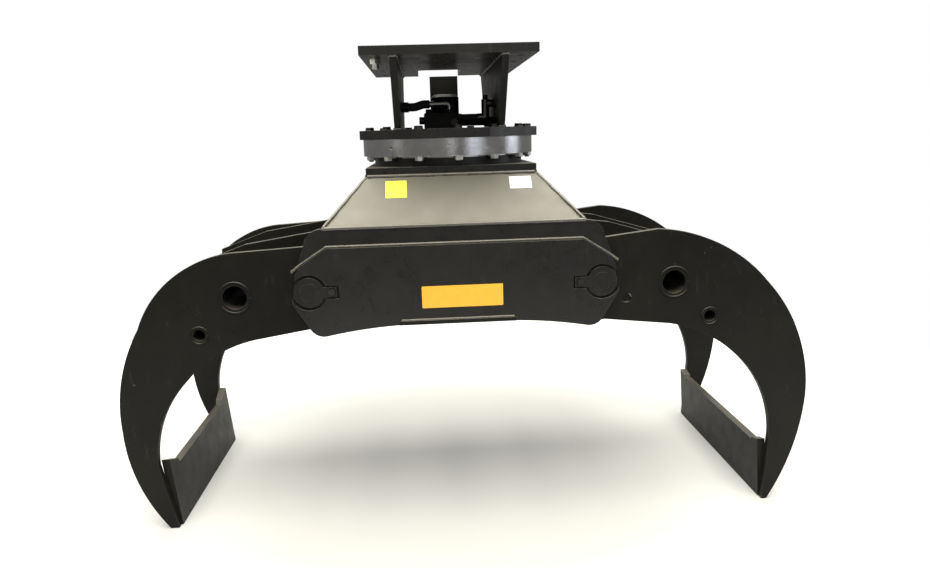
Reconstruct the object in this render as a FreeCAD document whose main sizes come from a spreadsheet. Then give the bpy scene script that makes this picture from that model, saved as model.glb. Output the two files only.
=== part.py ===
"""Rotating log grapple for an excavator, as a parametric FreeCAD document.

The origin is the centre of the hitch plate's upper face, where the grapple bolts to the carrier.
+Z is up, X runs from claw to claw and Y from front (negative) to rear. Every size is in millimetres.

From the top down: the hitch adapter (hitch plate, two side plates, ring plate) carries the slew
motor, the rotary union and the outer race of the slewing ring. The inner race, with its internal
gear, carries the box frame. Two claws hinge on pins through the frame, and one horizontal cylinder
between their upper arms pushes the arms apart to close the claws.
"""
import FreeCAD
import Part
import math
import os
import Sketcher
from FreeCAD import Rotation, Vector

SIZES = (
    # hitch adapter
    ("hitch_width", 500, "hitch plate along X"),
    ("hitch_depth", 760, "hitch plate along Y"),
    ("hitch_thick", 25, "hitch plate"),
    ("hitch_hole_d", 22, "bolt holes in the hitch plate's flanges"),
    ("hitch_hole_spacing_x", 420, "hitch holes, across"),
    ("hitch_hole_inner_y", 220, "inner four hitch holes, front to rear"),
    ("hitch_hole_outer_y", 580, "outer four hitch holes, front to rear"),
    ("transit_bolt_d", 20, "bolt left in one outer hitch hole"),
    ("notch_width", 150, "hose window in the hitch plate's rear edge"),
    ("notch_depth", 250, "hose window, from the rear edge"),
    ("notch_shift", -15, "hose window's centre, along X"),
    ("notch_corner_r", 15, "hose window's inner corners"),
    ("adapter_height", 200, "between hitch plate and ring plate"),
    ("adapter_side_thick", 20, "adapter side plates"),
    ("adapter_side_gap", 294, "between the adapter side plates"),
    ("adapter_side_top", 750, "side plates' depth at the hitch plate"),
    ("adapter_side_foot", 460, "side plates' depth at the ring plate"),
    ("ring_plate_width", 564, "octagonal ring plate, across flats"),
    ("ring_plate_thick", 28, "ring plate"),
    ("bracket_width", 100, "hose bracket"),
    ("bracket_height", 186, "hose bracket"),
    ("bracket_thick", 12, "hose bracket"),
    ("bracket_setback", 226, "hose bracket's middle plane, behind the slewing axis"),
    # slewing ring
    ("race_d", 560, "outer race, outside"),
    ("race_height", 53, "each race"),
    ("race_step", 6, "the inner race hangs this much lower"),
    ("raceway_d", 480, "ball pitch circle"),
    ("race_gap", 2, "between the races"),
    ("ball_d", 22, "slewing balls"),
    ("ball_count", 28, "slewing balls"),
    ("gear_module", 5, "ring gear and pinion"),
    ("ring_teeth", 80, "internal gear"),
    ("pinion_teeth", 16, "drive pinion"),
    ("gear_backlash", 0.5, "taken off each tooth's width"),
    ("ring_bolt_d", 16, "bolts through both races"),
    ("ring_bolt_count", 14, "bolts on each circle"),
    ("ring_bolt_circle", 528, "bolts through the outer race"),
    ("inner_bolt_circle", 438, "bolts up into the inner race"),
    ("bolt_head_height", 10, "M16 hexagon head"),
    ("nut_height", 13, "M16 hexagon nut"),
    ("hex_across_flats", 24, "M16 head and nut"),
    ("spacer_d", 490, "ring between inner race and base plate"),
    ("spacer_height", 24, "ring between inner race and base plate"),
    # slew drive and rotary union
    ("motor_flange", 112, "square mounting flange"),
    ("motor_flange_thick", 15, "mounting flange"),
    ("motor_d", 98, "motor body"),
    ("motor_height", 104, "motor body above its flange"),
    ("motor_shaft_d", 32, "output shaft"),
    ("motor_bolt_d", 12, "flange bolts"),
    ("union_d", 88, "rotary union sleeve"),
    ("union_spool_d", 56, "rotary union spool"),
    ("union_block_width", 112, "port block along X"),
    ("union_block_depth", 92, "port block along Y"),
    ("union_block_height", 52, "port block"),
    ("union_flange_d", 340, "spool's flange on the base plate"),
    # box frame
    ("base_plate_width", 516, "square base plate"),
    ("base_plate_thick", 25, "base plate"),
    ("base_plate_bore", 290, "opening in the base plate"),
    ("pivot_drop", 680, "claw pivots below the hitch face"),
    ("pivot_spacing", 860, "between the claw pivots"),
    ("frame_depth", 800, "over the doublers"),
    ("frame_side_thick", 20, "front and rear side plates"),
    ("doubler_thick", 12, "front and rear doublers"),
    ("slope_thick", 12, "sloped walls of the box"),
    ("end_wall_height", 76, "sloped end walls, downwards"),
    ("side_top_rise", 182, "side plates' top edge above the pivots"),
    ("doubler_top_rise", 127, "doublers' top edge above the pivots"),
    ("arch_drop", 108, "side plates' lower edge at the belly plate, below the pivots"),
    ("lobe_drop", 133, "side plates' lobes below the pivots"),
    ("lobe_r", 45, "side plates' lobes"),
    ("belly_length", 346, "belly plate along X"),
    ("belly_thick", 12, "belly plate"),
    ("belly_proud", 3, "belly plate's ends in front of the doublers"),
    ("rib_thick", 12, "ribs inside the box"),
    ("rib_inset", 23, "ribs' middle planes inward of the base plate's edge"),
    ("rib_window_d", 170, "lightening hole in each rib"),
    ("rib_scallop", 16, "ribs cut back under the base plate's bolt heads"),
    # pivots
    ("pin_d", 55, "claw pivot pins"),
    ("pin_clearance", 0.1, "pin in bush, on the diameter"),
    ("bush_d", 70, "bushes, outside"),
    ("pivot_tube_relief", 98, "pivot tubes, inside between the bushes"),
    ("bush_length", 80, "bushes"),
    ("pivot_tube_d", 124, "pivot tubes, outside"),
    ("pivot_end_gap", 2, "pivot tube to side plate"),
    ("keeper_d", 88, "pin keeper's disc"),
    ("keeper_thick", 10, "pin keeper"),
    ("keeper_tab_reach", 82, "keeper's tab from the pin's axis"),
    ("keeper_tab_width", 31, "keeper's tab"),
    ("keeper_bolt_d", 12, "keeper's bolt"),
    ("recess_d", 106, "keyhole in the doubler round the keeper"),
    # claws
    ("tine_thick", 20, "every claw plate"),
    ("right_tine_clearance", 4, "frame's side plate to the right claw's tine, each end"),
    ("left_tine_clearance", 30, "frame's side plate to the left claw's tine, each end"),
    ("right_inner_gap", 200, "between the right claw's inner plates"),
    ("left_inner_gap", 290, "between the left claw's inner plates"),
    ("hub_r", 127, "claw plates round the pivot"),
    ("large_tube_d", 89, "large cross tube"),
    ("large_tube_bore", 72, "large cross tube"),
    ("large_tube_out", 229, "large cross tube, outward of the pivot"),
    ("large_tube_down", 19, "large cross tube, below the pivot"),
    ("small_tube_d", 48, "small cross tube"),
    ("small_tube_bore", 36, "small cross tube"),
    ("small_tube_out", 344, "small cross tube, outward of the pivot"),
    ("small_tube_down", 130, "small cross tube, below the pivot"),
    ("lock_hole_d", 31, "locking hole beside the right claw's pivot"),
    ("lock_hole_out", 83, "locking hole, outward of the pivot"),
    ("lock_hole_down", 62, "locking hole, below the pivot"),
    ("tip_plate_thick", 25, "plate between the tine tips"),
    ("left_ear_height", 50, "ears at the left tip plate's ends, above its edge"),
    ("left_ear_width", 75, "ears at the left tip plate's ends"),
    ("right_ear_height", 24, "ears at the right tip plate's ends, above its edge"),
    ("right_ear_width", 45, "ears at the right tip plate's ends"),
    # cylinder
    ("arm_in", 110, "cylinder pins, inward of the pivots"),
    ("arm_up", 122.5, "cylinder pins, above the pivots"),
    ("lug_r", 42, "arms round the cylinder pins"),
    ("cylinder_pin_d", 40, "cylinder pins"),
    ("cylinder_eye_d", 80, "cylinder's eyes"),
    ("cylinder_eye_width", 70, "cylinder's eyes"),
    ("eye_side_gap", 1.5, "eye to lug boss, each side"),
    ("barrel_d", 115, "cylinder barrel"),
    ("cylinder_bore", 95, "cylinder barrel"),
    ("rod_d", 55, "cylinder rod"),
    ("barrel_length", 505, "barrel from its pin to the gland's face"),
    ("gland_length", 55, "gland"),
    ("gland_lip", 20, "part of the gland in front of the barrel"),
    ("piston_length", 50, "piston"),
)

# Claw outlines: outward of the pivot, above the pivot.
CLAW_POINTS = {
    "left": {
        "shoulder": (230, 115), "brow": (400, 52), "knee": (522, -104),
        "shin": (596, -290), "calf": (606, -430), "ankle": (582, -590), "toe": (498, -757),
        "sole": (472, -757), "heel": (512, -545), "shank": (485, -405), "throat": (400, -277),
        "jowl": (300, -195), "elbow": (185, -152),
        "blade_top": (481, -574), "blade_foot": (466, -757),
        "rib_top": (230, 114), "rib_end": (392, 56), "rib_foot": (404, -170),
    },
    "right": {
        "shoulder": (177, 144), "brow": (376, 88), "knee": (522, -30),
        "shin": (634, -212), "calf": (666, -400), "ankle": (637, -577), "toe": (560, -757),
        "sole": (544, -757), "heel": (556, -530), "shank": (530, -400), "throat": (453, -278),
        "jowl": (336, -189), "elbow": (222, -149),
        "blade_top": (529, -574), "blade_foot": (541, -757),
        "rib_top": (90, 139), "rib_end": (352, 62), "rib_foot": (404, -170),
    },
}

DOC = FreeCAD.newDocument("log_grapple")
SHEET = DOC.addObject("Spreadsheet::Sheet", "sizes")


def fill_sheet():
    """Write every driving size to the sheet, with its alias and its meaning."""
    rows = [(name, value, note) for name, value, note in SIZES]
    for claw, points in CLAW_POINTS.items():
        for place, (out, up) in points.items():
            rows.append((f"{claw}_{place}_out", out, f"{claw} claw's {place}, outward of the pivot"))
            rows.append((f"{claw}_{place}_up", up, f"{claw} claw's {place}, above the pivot"))
    for row, (name, value, note) in enumerate(rows, start=1):
        SHEET.set(f"A{row}", name)
        SHEET.set(f"B{row}", str(value))
        SHEET.set(f"C{row}", note)
        SHEET.setAlias(f"B{row}", name)
    DOC.recompute()


fill_sheet()


def size(name):
    """Return a driving size from the sheet."""
    return float(SHEET.get(name))


def count(name):
    """Return a driving number of copies from the sheet."""
    return int(round(size(name)))


# Levels and planes worked out from the driving sizes.
RING_PLATE_TOP = -(size("hitch_thick") + size("adapter_height"))
OUTER_RACE_TOP = RING_PLATE_TOP - size("ring_plate_thick")
OUTER_RACE_FOOT = OUTER_RACE_TOP - size("race_height")
INNER_RACE_TOP = OUTER_RACE_TOP - size("race_step")
INNER_RACE_FOOT = INNER_RACE_TOP - size("race_height")
BASE_PLATE_TOP = INNER_RACE_FOOT - size("spacer_height")
BASE_PLATE_FOOT = BASE_PLATE_TOP - size("base_plate_thick")
PIVOT_X = size("pivot_spacing") / 2
PIVOT_Z = -size("pivot_drop")
SIDE_FACE = size("frame_depth") / 2 - size("doubler_thick")
SIDE_INSIDE = SIDE_FACE - size("frame_side_thick")
SIDE_TOP = PIVOT_Z + size("side_top_rise")
BALL_LEVEL = (OUTER_RACE_TOP + INNER_RACE_FOOT) / 2
PINION_SETBACK = size("gear_module") * (size("ring_teeth") - size("pinion_teeth")) / 2
PIN_HALF = size("frame_depth") / 2
TUBE_HALF = SIDE_INSIDE - size("pivot_end_gap")
KEEPER_BOLT_X = PIVOT_X - size("keeper_tab_reach") + 16
ARM_X = PIVOT_X - size("arm_in")
ARM_Z = PIVOT_Z + size("arm_up")


# ---------------------------------------------------------------- drawing helpers

def vec(point):
    """Lift a sketch point to a vector."""
    return Vector(point[0], point[1], 0)


def path(*steps):
    """Return closed sketch edges: a step is a point, or (middle, end) of an arc."""
    start = steps[0]
    edges = []
    here = start
    for step in steps[1:]:
        if isinstance(step[0], tuple):
            edges.append(Part.Arc(vec(here), vec(step[0]), vec(step[1])))
            here = step[1]
        else:
            edges.append(Part.LineSegment(vec(here), vec(step)))
            here = step
    if math.dist(here, start) > 1e-6:
        edges.append(Part.LineSegment(vec(here), vec(start)))
    return edges


def both_halves(half):
    """Mirror steps that run from the top centre to the bottom centre into a whole outline."""
    def flip(point):
        return (-point[0], point[1])

    ends = [step[1] if isinstance(step[0], tuple) else step for step in half]
    back = []
    for index in range(len(half) - 1, 0, -1):
        step = half[index]
        target = flip(ends[index - 1])
        back.append((flip(step[0]), target) if isinstance(step[0], tuple) else target)
    return path(*half, *back)


def box_path(width, height, across=0.0, up=0.0):
    """Return the edges of a rectangle round a centre."""
    left, right = across - width / 2, across + width / 2
    low, high = up - height / 2, up + height / 2
    return path((left, low), (right, low), (right, high), (left, high))


def regular_path(radius, corners, turn=0.0, centre=(0.0, 0.0)):
    """Return the edges of a regular polygon by its corner radius."""
    angles = [math.radians(turn) + 2 * math.pi * i / corners for i in range(corners)]
    points = [(centre[0] + radius * math.cos(a), centre[1] + radius * math.sin(a)) for a in angles]
    return path(*points)


def new_body(label):
    """Return an empty PartDesign body for one sub-part."""
    body = DOC.addObject("PartDesign::Body", label)
    body.Label = label
    return body


def new_sketch(body, role, edges, circles=()):
    """Draw edges and round holes on one of the body's origin planes."""
    drawing = body.newObject("Sketcher::SketchObject", f"{body.Name}_sketch")
    base = next(item for item in body.Origin.OriginFeatures if item.Role == role)
    drawing.AttachmentSupport = [(base, "")]
    drawing.MapMode = "FlatFace"
    if edges:
        drawing.addGeometry(edges, False)
    for centre, diameter in circles:
        index = drawing.addGeometry(Part.Circle(vec(centre), Vector(0, 0, 1), 10.0), False)
        rule = drawing.addConstraint(Sketcher.Constraint("Diameter", index, 20.0))
        drawing.setExpression(f"Constraints[{rule}]", diameter)
    return drawing


def pad(body, drawing, length):
    """Extrude a sketch to both sides of its plane; the length is an expression."""
    feature = body.newObject("PartDesign::Pad", f"{body.Name}_pad")
    feature.Profile = drawing
    feature.Midplane = True
    feature.setExpression("Length", length)
    drawing.Visibility = False
    return feature


def pocket(body, drawing):
    """Cut a sketch through everything, to both sides of its plane."""
    feature = body.newObject("PartDesign::Pocket", f"{body.Name}_pocket")
    feature.Profile = drawing
    feature.Midplane = True
    feature.Type = "ThroughAll"
    drawing.Visibility = False
    return feature


def place(thing, **rules):
    """Bind a placement's coordinates to expressions."""
    for axis, rule in rules.items():
        thing.setExpression(f"Placement.Base.{axis}", str(rule))
    return thing


def plate(label, role, edges, thickness, circles=(), cuts=(), **rules):
    """Make a flat piece: an outline padded to both sides of a plane, then placed."""
    body = new_body(label)
    pad(body, new_sketch(body, role, edges, circles), thickness)
    for cut_role, cut_edges in cuts:
        pocket(body, new_sketch(body, cut_role, cut_edges))
    return place(body, **rules)


def turned(label, profile, turn=None, base=None):
    """Revolve an XZ profile of (radius, level) points about Z, then place the piece."""
    body = new_body(label)
    drawing = new_sketch(body, "XZ_Plane", path(*profile))
    feature = body.newObject("PartDesign::Revolution", f"{label}_turn")
    feature.Profile = drawing
    feature.ReferenceAxis = (drawing, ["V_Axis"])
    feature.Angle = 360
    drawing.Visibility = False
    body.Placement = FreeCAD.Placement(base or Vector(), turn or Rotation())
    return body


def rod_shape(diameter, start, end):
    """Return a round bar between two points."""
    along = end - start
    return Part.makeCylinder(diameter / 2, along.Length, start, along)


def tube_shape(outside, inside, start, end):
    """Return a round tube between two points."""
    return rod_shape(outside, start, end).cut(rod_shape(inside, start, end))


def hex_shape(across_flats, foot, height):
    """Return an upright hexagonal prism standing on a point."""
    corner = across_flats / math.sqrt(3)
    points = [foot + Vector(corner * math.cos(math.radians(60 * i + 30)),
                            corner * math.sin(math.radians(60 * i + 30)), 0) for i in range(7)]
    return Part.Face(Part.makePolygon(points)).extrude(Vector(0, 0, height))


def hex_along(across_flats, foot, along):
    """Return a hexagonal prism that stands on a point and grows along a vector."""
    prism = hex_shape(across_flats, Vector(), along.Length)
    prism.Placement = FreeCAD.Placement(foot, Rotation(Vector(0, 0, 1), along))
    return prism


def group(label, shapes):
    """Keep separate solids together as one sub-part."""
    feature = DOC.addObject("Part::Feature", label)
    feature.Label = label
    feature.Shape = shapes[0] if len(shapes) == 1 else Part.makeCompound(shapes)
    return feature


def on_circle(diameter, index, copies, level, start_degrees=0.0):
    """Return one of the evenly spaced points on a level circle."""
    angle = math.radians(start_degrees + 360.0 * index / copies)
    return Vector(diameter / 2 * math.cos(angle), diameter / 2 * math.sin(angle), level)


def circle_centres(diameter, copies, start_degrees=0.0):
    """Return evenly spaced sketch points on a circle."""
    points = [on_circle(diameter, i, copies, 0.0, start_degrees) for i in range(copies)]
    return [(point.x, point.y) for point in points]


def bent_pipe(points, diameter):
    """Return a round pipe along straight runs that are joined by tangent arcs."""
    edges = []
    here = points[0]
    for corner, after in zip(points[1:-1], points[2:]):
        before = corner - here
        beyond = after - corner
        turn = before.getAngle(beyond)
        shorter = min(before.Length, beyond.Length)
        setback = 0.45 * shorter
        radius = setback / math.tan(turn / 2)
        enter = corner - before.normalize() * setback
        leave = corner + beyond.normalize() * setback
        inward = (enter + leave) * 0.5 - corner
        middle = corner + inward.normalize() * (radius / math.cos(turn / 2) - radius)
        edges.append(Part.LineSegment(here, enter).toShape())
        edges.append(Part.Arc(enter, middle, leave).toShape())
        here = leave
    edges.append(Part.LineSegment(here, points[-1]).toShape())
    spine = Part.Wire(edges)
    ring = Part.Wire(Part.Circle(points[0], points[1] - points[0], diameter / 2).toShape())
    return spine.makePipeShell([ring], True, False)


# ---------------------------------------------------------------- gears

def involute(angle):
    """Return the involute function of a pressure angle in radians."""
    return math.tan(angle) - angle


def gear_path(teeth, tip_r, root_r, backlash, turn=90.0):
    """Return the outline of an involute gear with one tooth centred on the turn angle."""
    module = size("gear_module")
    pressure = math.radians(20)
    pitch_r = module * teeth / 2
    base_r = pitch_r * math.cos(pressure)
    half_pitch = math.pi / (2 * teeth) - backlash / (2 * pitch_r)

    def half_width(radius):
        """Return half a tooth's angle at a radius."""
        local = math.acos(min(1.0, base_r / radius))
        return half_pitch + involute(pressure) - involute(local)

    foot_r = max(root_r, base_r)
    levels = (foot_r, (foot_r + tip_r) / 2, tip_r)

    def spot(radius, angle):
        """Return the sketch point at a polar position."""
        return (radius * math.cos(angle), radius * math.sin(angle))

    steps = []
    for tooth in range(teeth):
        middle = math.radians(turn) + 2 * math.pi * tooth / teeth
        rise = [spot(r, middle - half_width(r)) for r in levels]
        fall = [spot(r, middle + half_width(r)) for r in reversed(levels)]
        root_a = spot(root_r, middle - half_width(foot_r))
        root_b = spot(root_r, middle + half_width(foot_r))
        if root_r < foot_r:
            steps.append(root_a)
        steps.extend((rise[0], (rise[1], rise[2]), fall[0], (fall[1], fall[2])))
        if root_r < foot_r:
            steps.append(root_b)
    return path(*steps)


# ---------------------------------------------------------------- hitch adapter

def make_hitch_plate():
    """Make the top plate, with its eight flange holes and its hose window."""
    half_x, half_y = size("hitch_width") / 2, size("hitch_depth") / 2
    left = size("notch_shift") - size("notch_width") / 2
    right = size("notch_shift") + size("notch_width") / 2
    inner = half_y - size("notch_depth")
    corner = size("notch_corner_r")
    bend = corner * (1 - math.sqrt(0.5))
    outline = path(
        (-half_x, -half_y), (half_x, -half_y), (half_x, half_y), (right, half_y),
        (right, inner + corner), ((right - bend, inner + bend), (right - corner, inner)),
        (left + corner, inner), ((left + bend, inner + bend), (left, inner + corner)),
        (left, half_y), (-half_x, half_y))
    centres = [(sx * size("hitch_hole_spacing_x") / 2, sy * size(row) / 2)
               for row in ("hitch_hole_inner_y", "hitch_hole_outer_y")
               for sx in (-1, 1) for sy in (-1, 1)]
    holes = [(centre, "sizes.hitch_hole_d") for centre in centres]
    body = plate("hitch_plate", "XY_Plane", outline, "sizes.hitch_thick", holes,
                 z="-sizes.hitch_thick / 2")
    sink = body.newObject("PartDesign::SubtractiveCone", "hitch_countersink")
    sink.setExpression("Radius1", "sizes.transit_bolt_d / 2")
    sink.setExpression("Radius2", "sizes.transit_bolt_d")
    sink.setExpression("Height", "sizes.transit_bolt_d / 2")
    place(sink, x="-sizes.hitch_hole_spacing_x / 2", y="-sizes.hitch_hole_outer_y / 2",
          z="(sizes.hitch_thick - sizes.transit_bolt_d) / 2")


def make_adapter_sides():
    """Make the two side plates, narrower at the ring plate, with their hose ports."""
    top, foot = size("adapter_side_top") / 2, size("adapter_side_foot") / 2
    head = -size("hitch_thick")
    outline = path((-foot, RING_PLATE_TOP), (foot, RING_PLATE_TOP), (top, head), (-top, head))
    for label, sign in (("adapter_left_plate", -1), ("adapter_right_plate", 1)):
        ports = [((y, z), f"{PORT_D}") for side, y, z in SIDE_PORTS if side == sign]
        plate(label, "YZ_Plane", outline, "sizes.adapter_side_thick", ports,
              x=f"{sign} * (sizes.adapter_side_gap + sizes.adapter_side_thick) / 2")


def make_ring_plate():
    """Make the octagonal plate that the outer race and the slew motor bolt to."""
    corner_r = size("ring_plate_width") / 2 / math.cos(math.pi / 8)
    outline = regular_path(corner_r, 8, 22.5)
    bolts = circle_centres(size("ring_bolt_circle"), count("ring_bolt_count"), BOLT_START)
    holes = [(centre, "sizes.ring_bolt_d") for centre in bolts]
    holes.append(((0, 0), "sizes.union_d"))
    pinion_hole = size("gear_module") * (size("pinion_teeth") + 2) + 3
    holes.append(((0, PINION_SETBACK), f"{pinion_hole}"))
    plate("adapter_ring_plate", "XY_Plane", outline, "sizes.ring_plate_thick", holes,
          z=f"{RING_PLATE_TOP} - sizes.ring_plate_thick / 2")


def make_hose_bracket():
    """Make the upright plate behind the motor that steadies the hoses."""
    outline = path((-size("bracket_width") / 2, 0), (size("bracket_width") / 2, 0),
                   (size("bracket_width") / 2, size("bracket_height")),
                   (-size("bracket_width") / 2, size("bracket_height")))
    plate("hose_bracket", "XZ_Plane", outline, "sizes.bracket_thick",
          y="sizes.bracket_setback", z=f"{RING_PLATE_TOP}")


def make_transit_bolt():
    """Make the flush hitch bolt that travels in its hole, with its nut under the plate."""
    bolt_d = size("transit_bolt_d")
    nut, tail = 0.8 * bolt_d, 0.7 * bolt_d
    at = Vector(-size("hitch_hole_spacing_x") / 2, -size("hitch_hole_outer_y") / 2, 0)
    under = at - Vector(0, 0, size("hitch_thick"))
    sink = bolt_d / 2
    shank = rod_shape(bolt_d, under - Vector(0, 0, nut + tail), at)
    head = Part.makeCone(bolt_d / 2, bolt_d / 2 + sink, sink, at - Vector(0, 0, sink))
    collar = hex_shape(1.5 * bolt_d, under - Vector(0, 0, nut), nut).cut(shank)
    group("transit_bolt", [shank.fuse(head), collar])


# ---------------------------------------------------------------- slewing ring

BOLT_START = -90 + 4.7
PORT_D = 30
THREAD_D = 18.6
THREAD_DEPTH = 15
PORT_STAND = 8
HOSE_D = 27
PIPE_D = 12
BLOCK_SHIFT = -20
BLOCK_MIDDLE = RING_PLATE_TOP + size("union_block_height") / 2
PRESSURE_LEVEL = RING_PLATE_TOP + 80
UPPER_LEVEL = RING_PLATE_TOP + 78
HOSE_LEVEL = RING_PLATE_TOP + 34
ELBOW_X = 127
LOWER_LEVEL = RING_PLATE_TOP + 20
FRONT_ROW = -22
REAR_ROW = 14
SIDE_PORTS = ((-1, FRONT_ROW, PRESSURE_LEVEL - 8), (1, FRONT_ROW, UPPER_LEVEL),
              (1, REAR_ROW, LOWER_LEVEL))


def ball_groove():
    """Return the ring of space that the balls roll in."""
    return Part.makeTorus(size("raceway_d") / 2, size("ball_d") / 2 + 0.15, Vector(0, 0, BALL_LEVEL))


def ring_shape(outside, inside, foot, height):
    """Return a level ring."""
    return tube_shape(outside, inside, Vector(0, 0, foot), Vector(0, 0, foot + height))


def make_outer_race():
    """Make the polished outer race, drilled for its bolts and a grease nipple."""
    race = ring_shape(size("race_d"), size("raceway_d") + size("race_gap"), OUTER_RACE_FOOT,
                      size("race_height")).cut(ball_groove())
    for index in range(count("ring_bolt_count")):
        spot = on_circle(size("ring_bolt_circle"), index, count("ring_bolt_count"),
                         OUTER_RACE_FOOT, BOLT_START)
        race = race.cut(rod_shape(size("ring_bolt_d"), spot, spot + Vector(0, 0, size("race_height"))))
    angle = math.radians(GREASE_ANGLE)
    face = Vector(math.cos(angle), math.sin(angle), 0) * (size("race_d") / 2)
    middle = Vector(0, 0, (OUTER_RACE_TOP + OUTER_RACE_FOOT) / 2)
    hole = rod_shape(8, middle + face * 0.95, middle + face * 1.05)
    group("slewing_outer_race", [race.cut(hole)])


GREASE_ANGLE = -90 - 40


def make_inner_race():
    """Make the inner race: its bore is the internal gear, its foot is tapped for bolts."""
    teeth = count("ring_teeth")
    module = size("gear_module")
    pitch_r = module * teeth / 2
    spaces = gear_path(teeth, pitch_r + 1.25 * module, pitch_r - 0.8 * module,
                       -size("gear_backlash"))
    body = new_body("slewing_inner_race")
    outside = [((0, 0), "sizes.raceway_d - sizes.race_gap")]
    pad(body, new_sketch(body, "XY_Plane", spaces, outside), "sizes.race_height")
    groove = body.newObject("PartDesign::SubtractiveTorus", "race_groove")
    groove.setExpression("Radius1", "sizes.raceway_d / 2")
    groove.setExpression("Radius2", "sizes.ball_d / 2 + 0.15")
    middle = (INNER_RACE_TOP + INNER_RACE_FOOT) / 2
    groove.Placement.Base.z = BALL_LEVEL - middle
    tapped = size("bolt_head_height") + 24
    taps = circle_centres(size("inner_bolt_circle"), count("ring_bolt_count"))
    drawing = new_sketch(body, "XY_Plane", [], [(spot, "sizes.ring_bolt_d") for spot in taps])
    drawing.AttachmentOffset = FreeCAD.Placement(Vector(0, 0, -size("race_height") / 2), Rotation())
    blind = body.newObject("PartDesign::Pocket", "race_taps")
    blind.Profile = drawing
    blind.Reversed = True
    blind.Length = tapped
    place(body, z=f"{middle}")


def make_balls():
    """Make the ring of balls between the races."""
    copies = count("ball_count")
    balls = []
    for index in range(copies):
        centre = on_circle(size("raceway_d"), index, copies, BALL_LEVEL)
        balls.append(Part.makeSphere(size("ball_d") / 2, centre))
    group("slewing_balls", balls)


def make_ring_bolts():
    """Make the bolts and nuts of the outer race and the bolts of the inner race."""
    shank_d = size("ring_bolt_d")
    head, nut, across = size("bolt_head_height"), size("nut_height"), size("hex_across_flats")
    copies = count("ring_bolt_count")
    bolts, nuts, lower = [], [], []
    for index in range(copies):
        top = on_circle(size("ring_bolt_circle"), index, copies, RING_PLATE_TOP, BOLT_START)
        seat = Vector(top.x, top.y, OUTER_RACE_FOOT)
        shank = rod_shape(shank_d, seat - Vector(0, 0, nut + 4), top)
        bolts.append(shank.fuse(hex_shape(across, top, head)))
        nuts.append(hex_shape(across, seat - Vector(0, 0, nut), nut).cut(shank))
        foot = on_circle(size("inner_bolt_circle"), index, copies, BASE_PLATE_FOOT)
        reach = Vector(foot.x, foot.y, INNER_RACE_FOOT + 32)
        screw = rod_shape(shank_d, foot, reach)
        lower.append(screw.fuse(hex_shape(across, foot - Vector(0, 0, head), head)))
    group("ring_bolts", bolts)
    group("ring_nuts", nuts)
    group("inner_race_bolts", lower)


def make_spacer():
    """Make the spacer ring between the inner race and the base plate."""
    gear_root_r = size("gear_module") * (size("ring_teeth") / 2 + 1.25)
    spacer = ring_shape(size("spacer_d"), 2 * gear_root_r, BASE_PLATE_TOP, size("spacer_height"))
    for index in range(count("ring_bolt_count")):
        spot = on_circle(size("inner_bolt_circle"), index, count("ring_bolt_count"), BASE_PLATE_TOP)
        spacer = spacer.cut(rod_shape(size("ring_bolt_d"), spot,
                                      spot + Vector(0, 0, size("spacer_height"))))
    group("slewing_spacer", [spacer])


# ---------------------------------------------------------------- slew drive and rotary union

def make_slew_motor():
    """Make the hydraulic motor: a square flange, a round body with a crowned cap, two ports."""
    flange = size("motor_flange")
    foot = RING_PLATE_TOP
    rise = size("motor_flange_thick")
    body_r = size("motor_d") / 2
    crown = 10
    spacing = flange - 28
    base = Part.makeBox(flange, flange, rise, Vector(-flange / 2, -flange / 2, 0))
    base = base.makeFillet(12, [edge for edge in base.Edges if abs(edge.BoundBox.ZLength - rise) < 1e-6])
    for sx in (-1, 1):
        for sy in (-1, 1):
            spot = Vector(sx * spacing / 2, sy * spacing / 2, 0)
            base = base.cut(rod_shape(size("motor_bolt_d") + 1, spot, spot + Vector(0, 0, rise)))
    can = Part.makeCylinder(body_r, size("motor_height") - crown, Vector(0, 0, rise))
    cap = Part.makeCone(body_r, body_r - crown, crown, Vector(0, 0, rise + size("motor_height") - crown))
    side = Vector(0, -body_r + 8, rise + size("motor_height") * 0.62)
    port = Part.makeBox(64, 20, 40, side + Vector(-32, -20, -20))
    shape = base.fuse([can, cap, port]).removeSplitter()
    bore = size("motor_shaft_d") + 0.2
    shape = shape.cut(rod_shape(bore, Vector(0, 0, 0), Vector(0, 0, rise + 30)))
    motor = group("slew_motor", [shape])
    motor.Placement.Base = Vector(0, PINION_SETBACK, foot)
    bolts = []
    for sx in (-1, 1):
        for sy in (-1, 1):
            spot = Vector(sx * spacing / 2, PINION_SETBACK + sy * spacing / 2, foot + rise)
            bolts.append(hex_shape(1.5 * size("motor_bolt_d"), spot, 8))
    group("motor_bolts", bolts)


def make_pinion():
    """Make the pinion with the motor shaft that drives it."""
    teeth = count("pinion_teeth")
    module = size("gear_module")
    pitch_r = module * teeth / 2
    outline = gear_path(teeth, pitch_r + module, pitch_r - 1.25 * module, size("gear_backlash"))
    body = new_body("drive_pinion")
    face = size("race_height") - 3
    pad(body, new_sketch(body, "XY_Plane", outline), f"{face}")
    middle = (INNER_RACE_TOP + INNER_RACE_FOOT) / 2
    shaft = new_sketch(body, "XY_Plane", [], [((0, 0), "sizes.motor_shaft_d")])
    rise = body.newObject("PartDesign::Pad", "pinion_shaft")
    rise.Profile = shaft
    rise.Length = RING_PLATE_TOP + size("motor_flange_thick") + 28 - middle
    place(body, y=f"{PINION_SETBACK}", z=f"{middle}")


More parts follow.
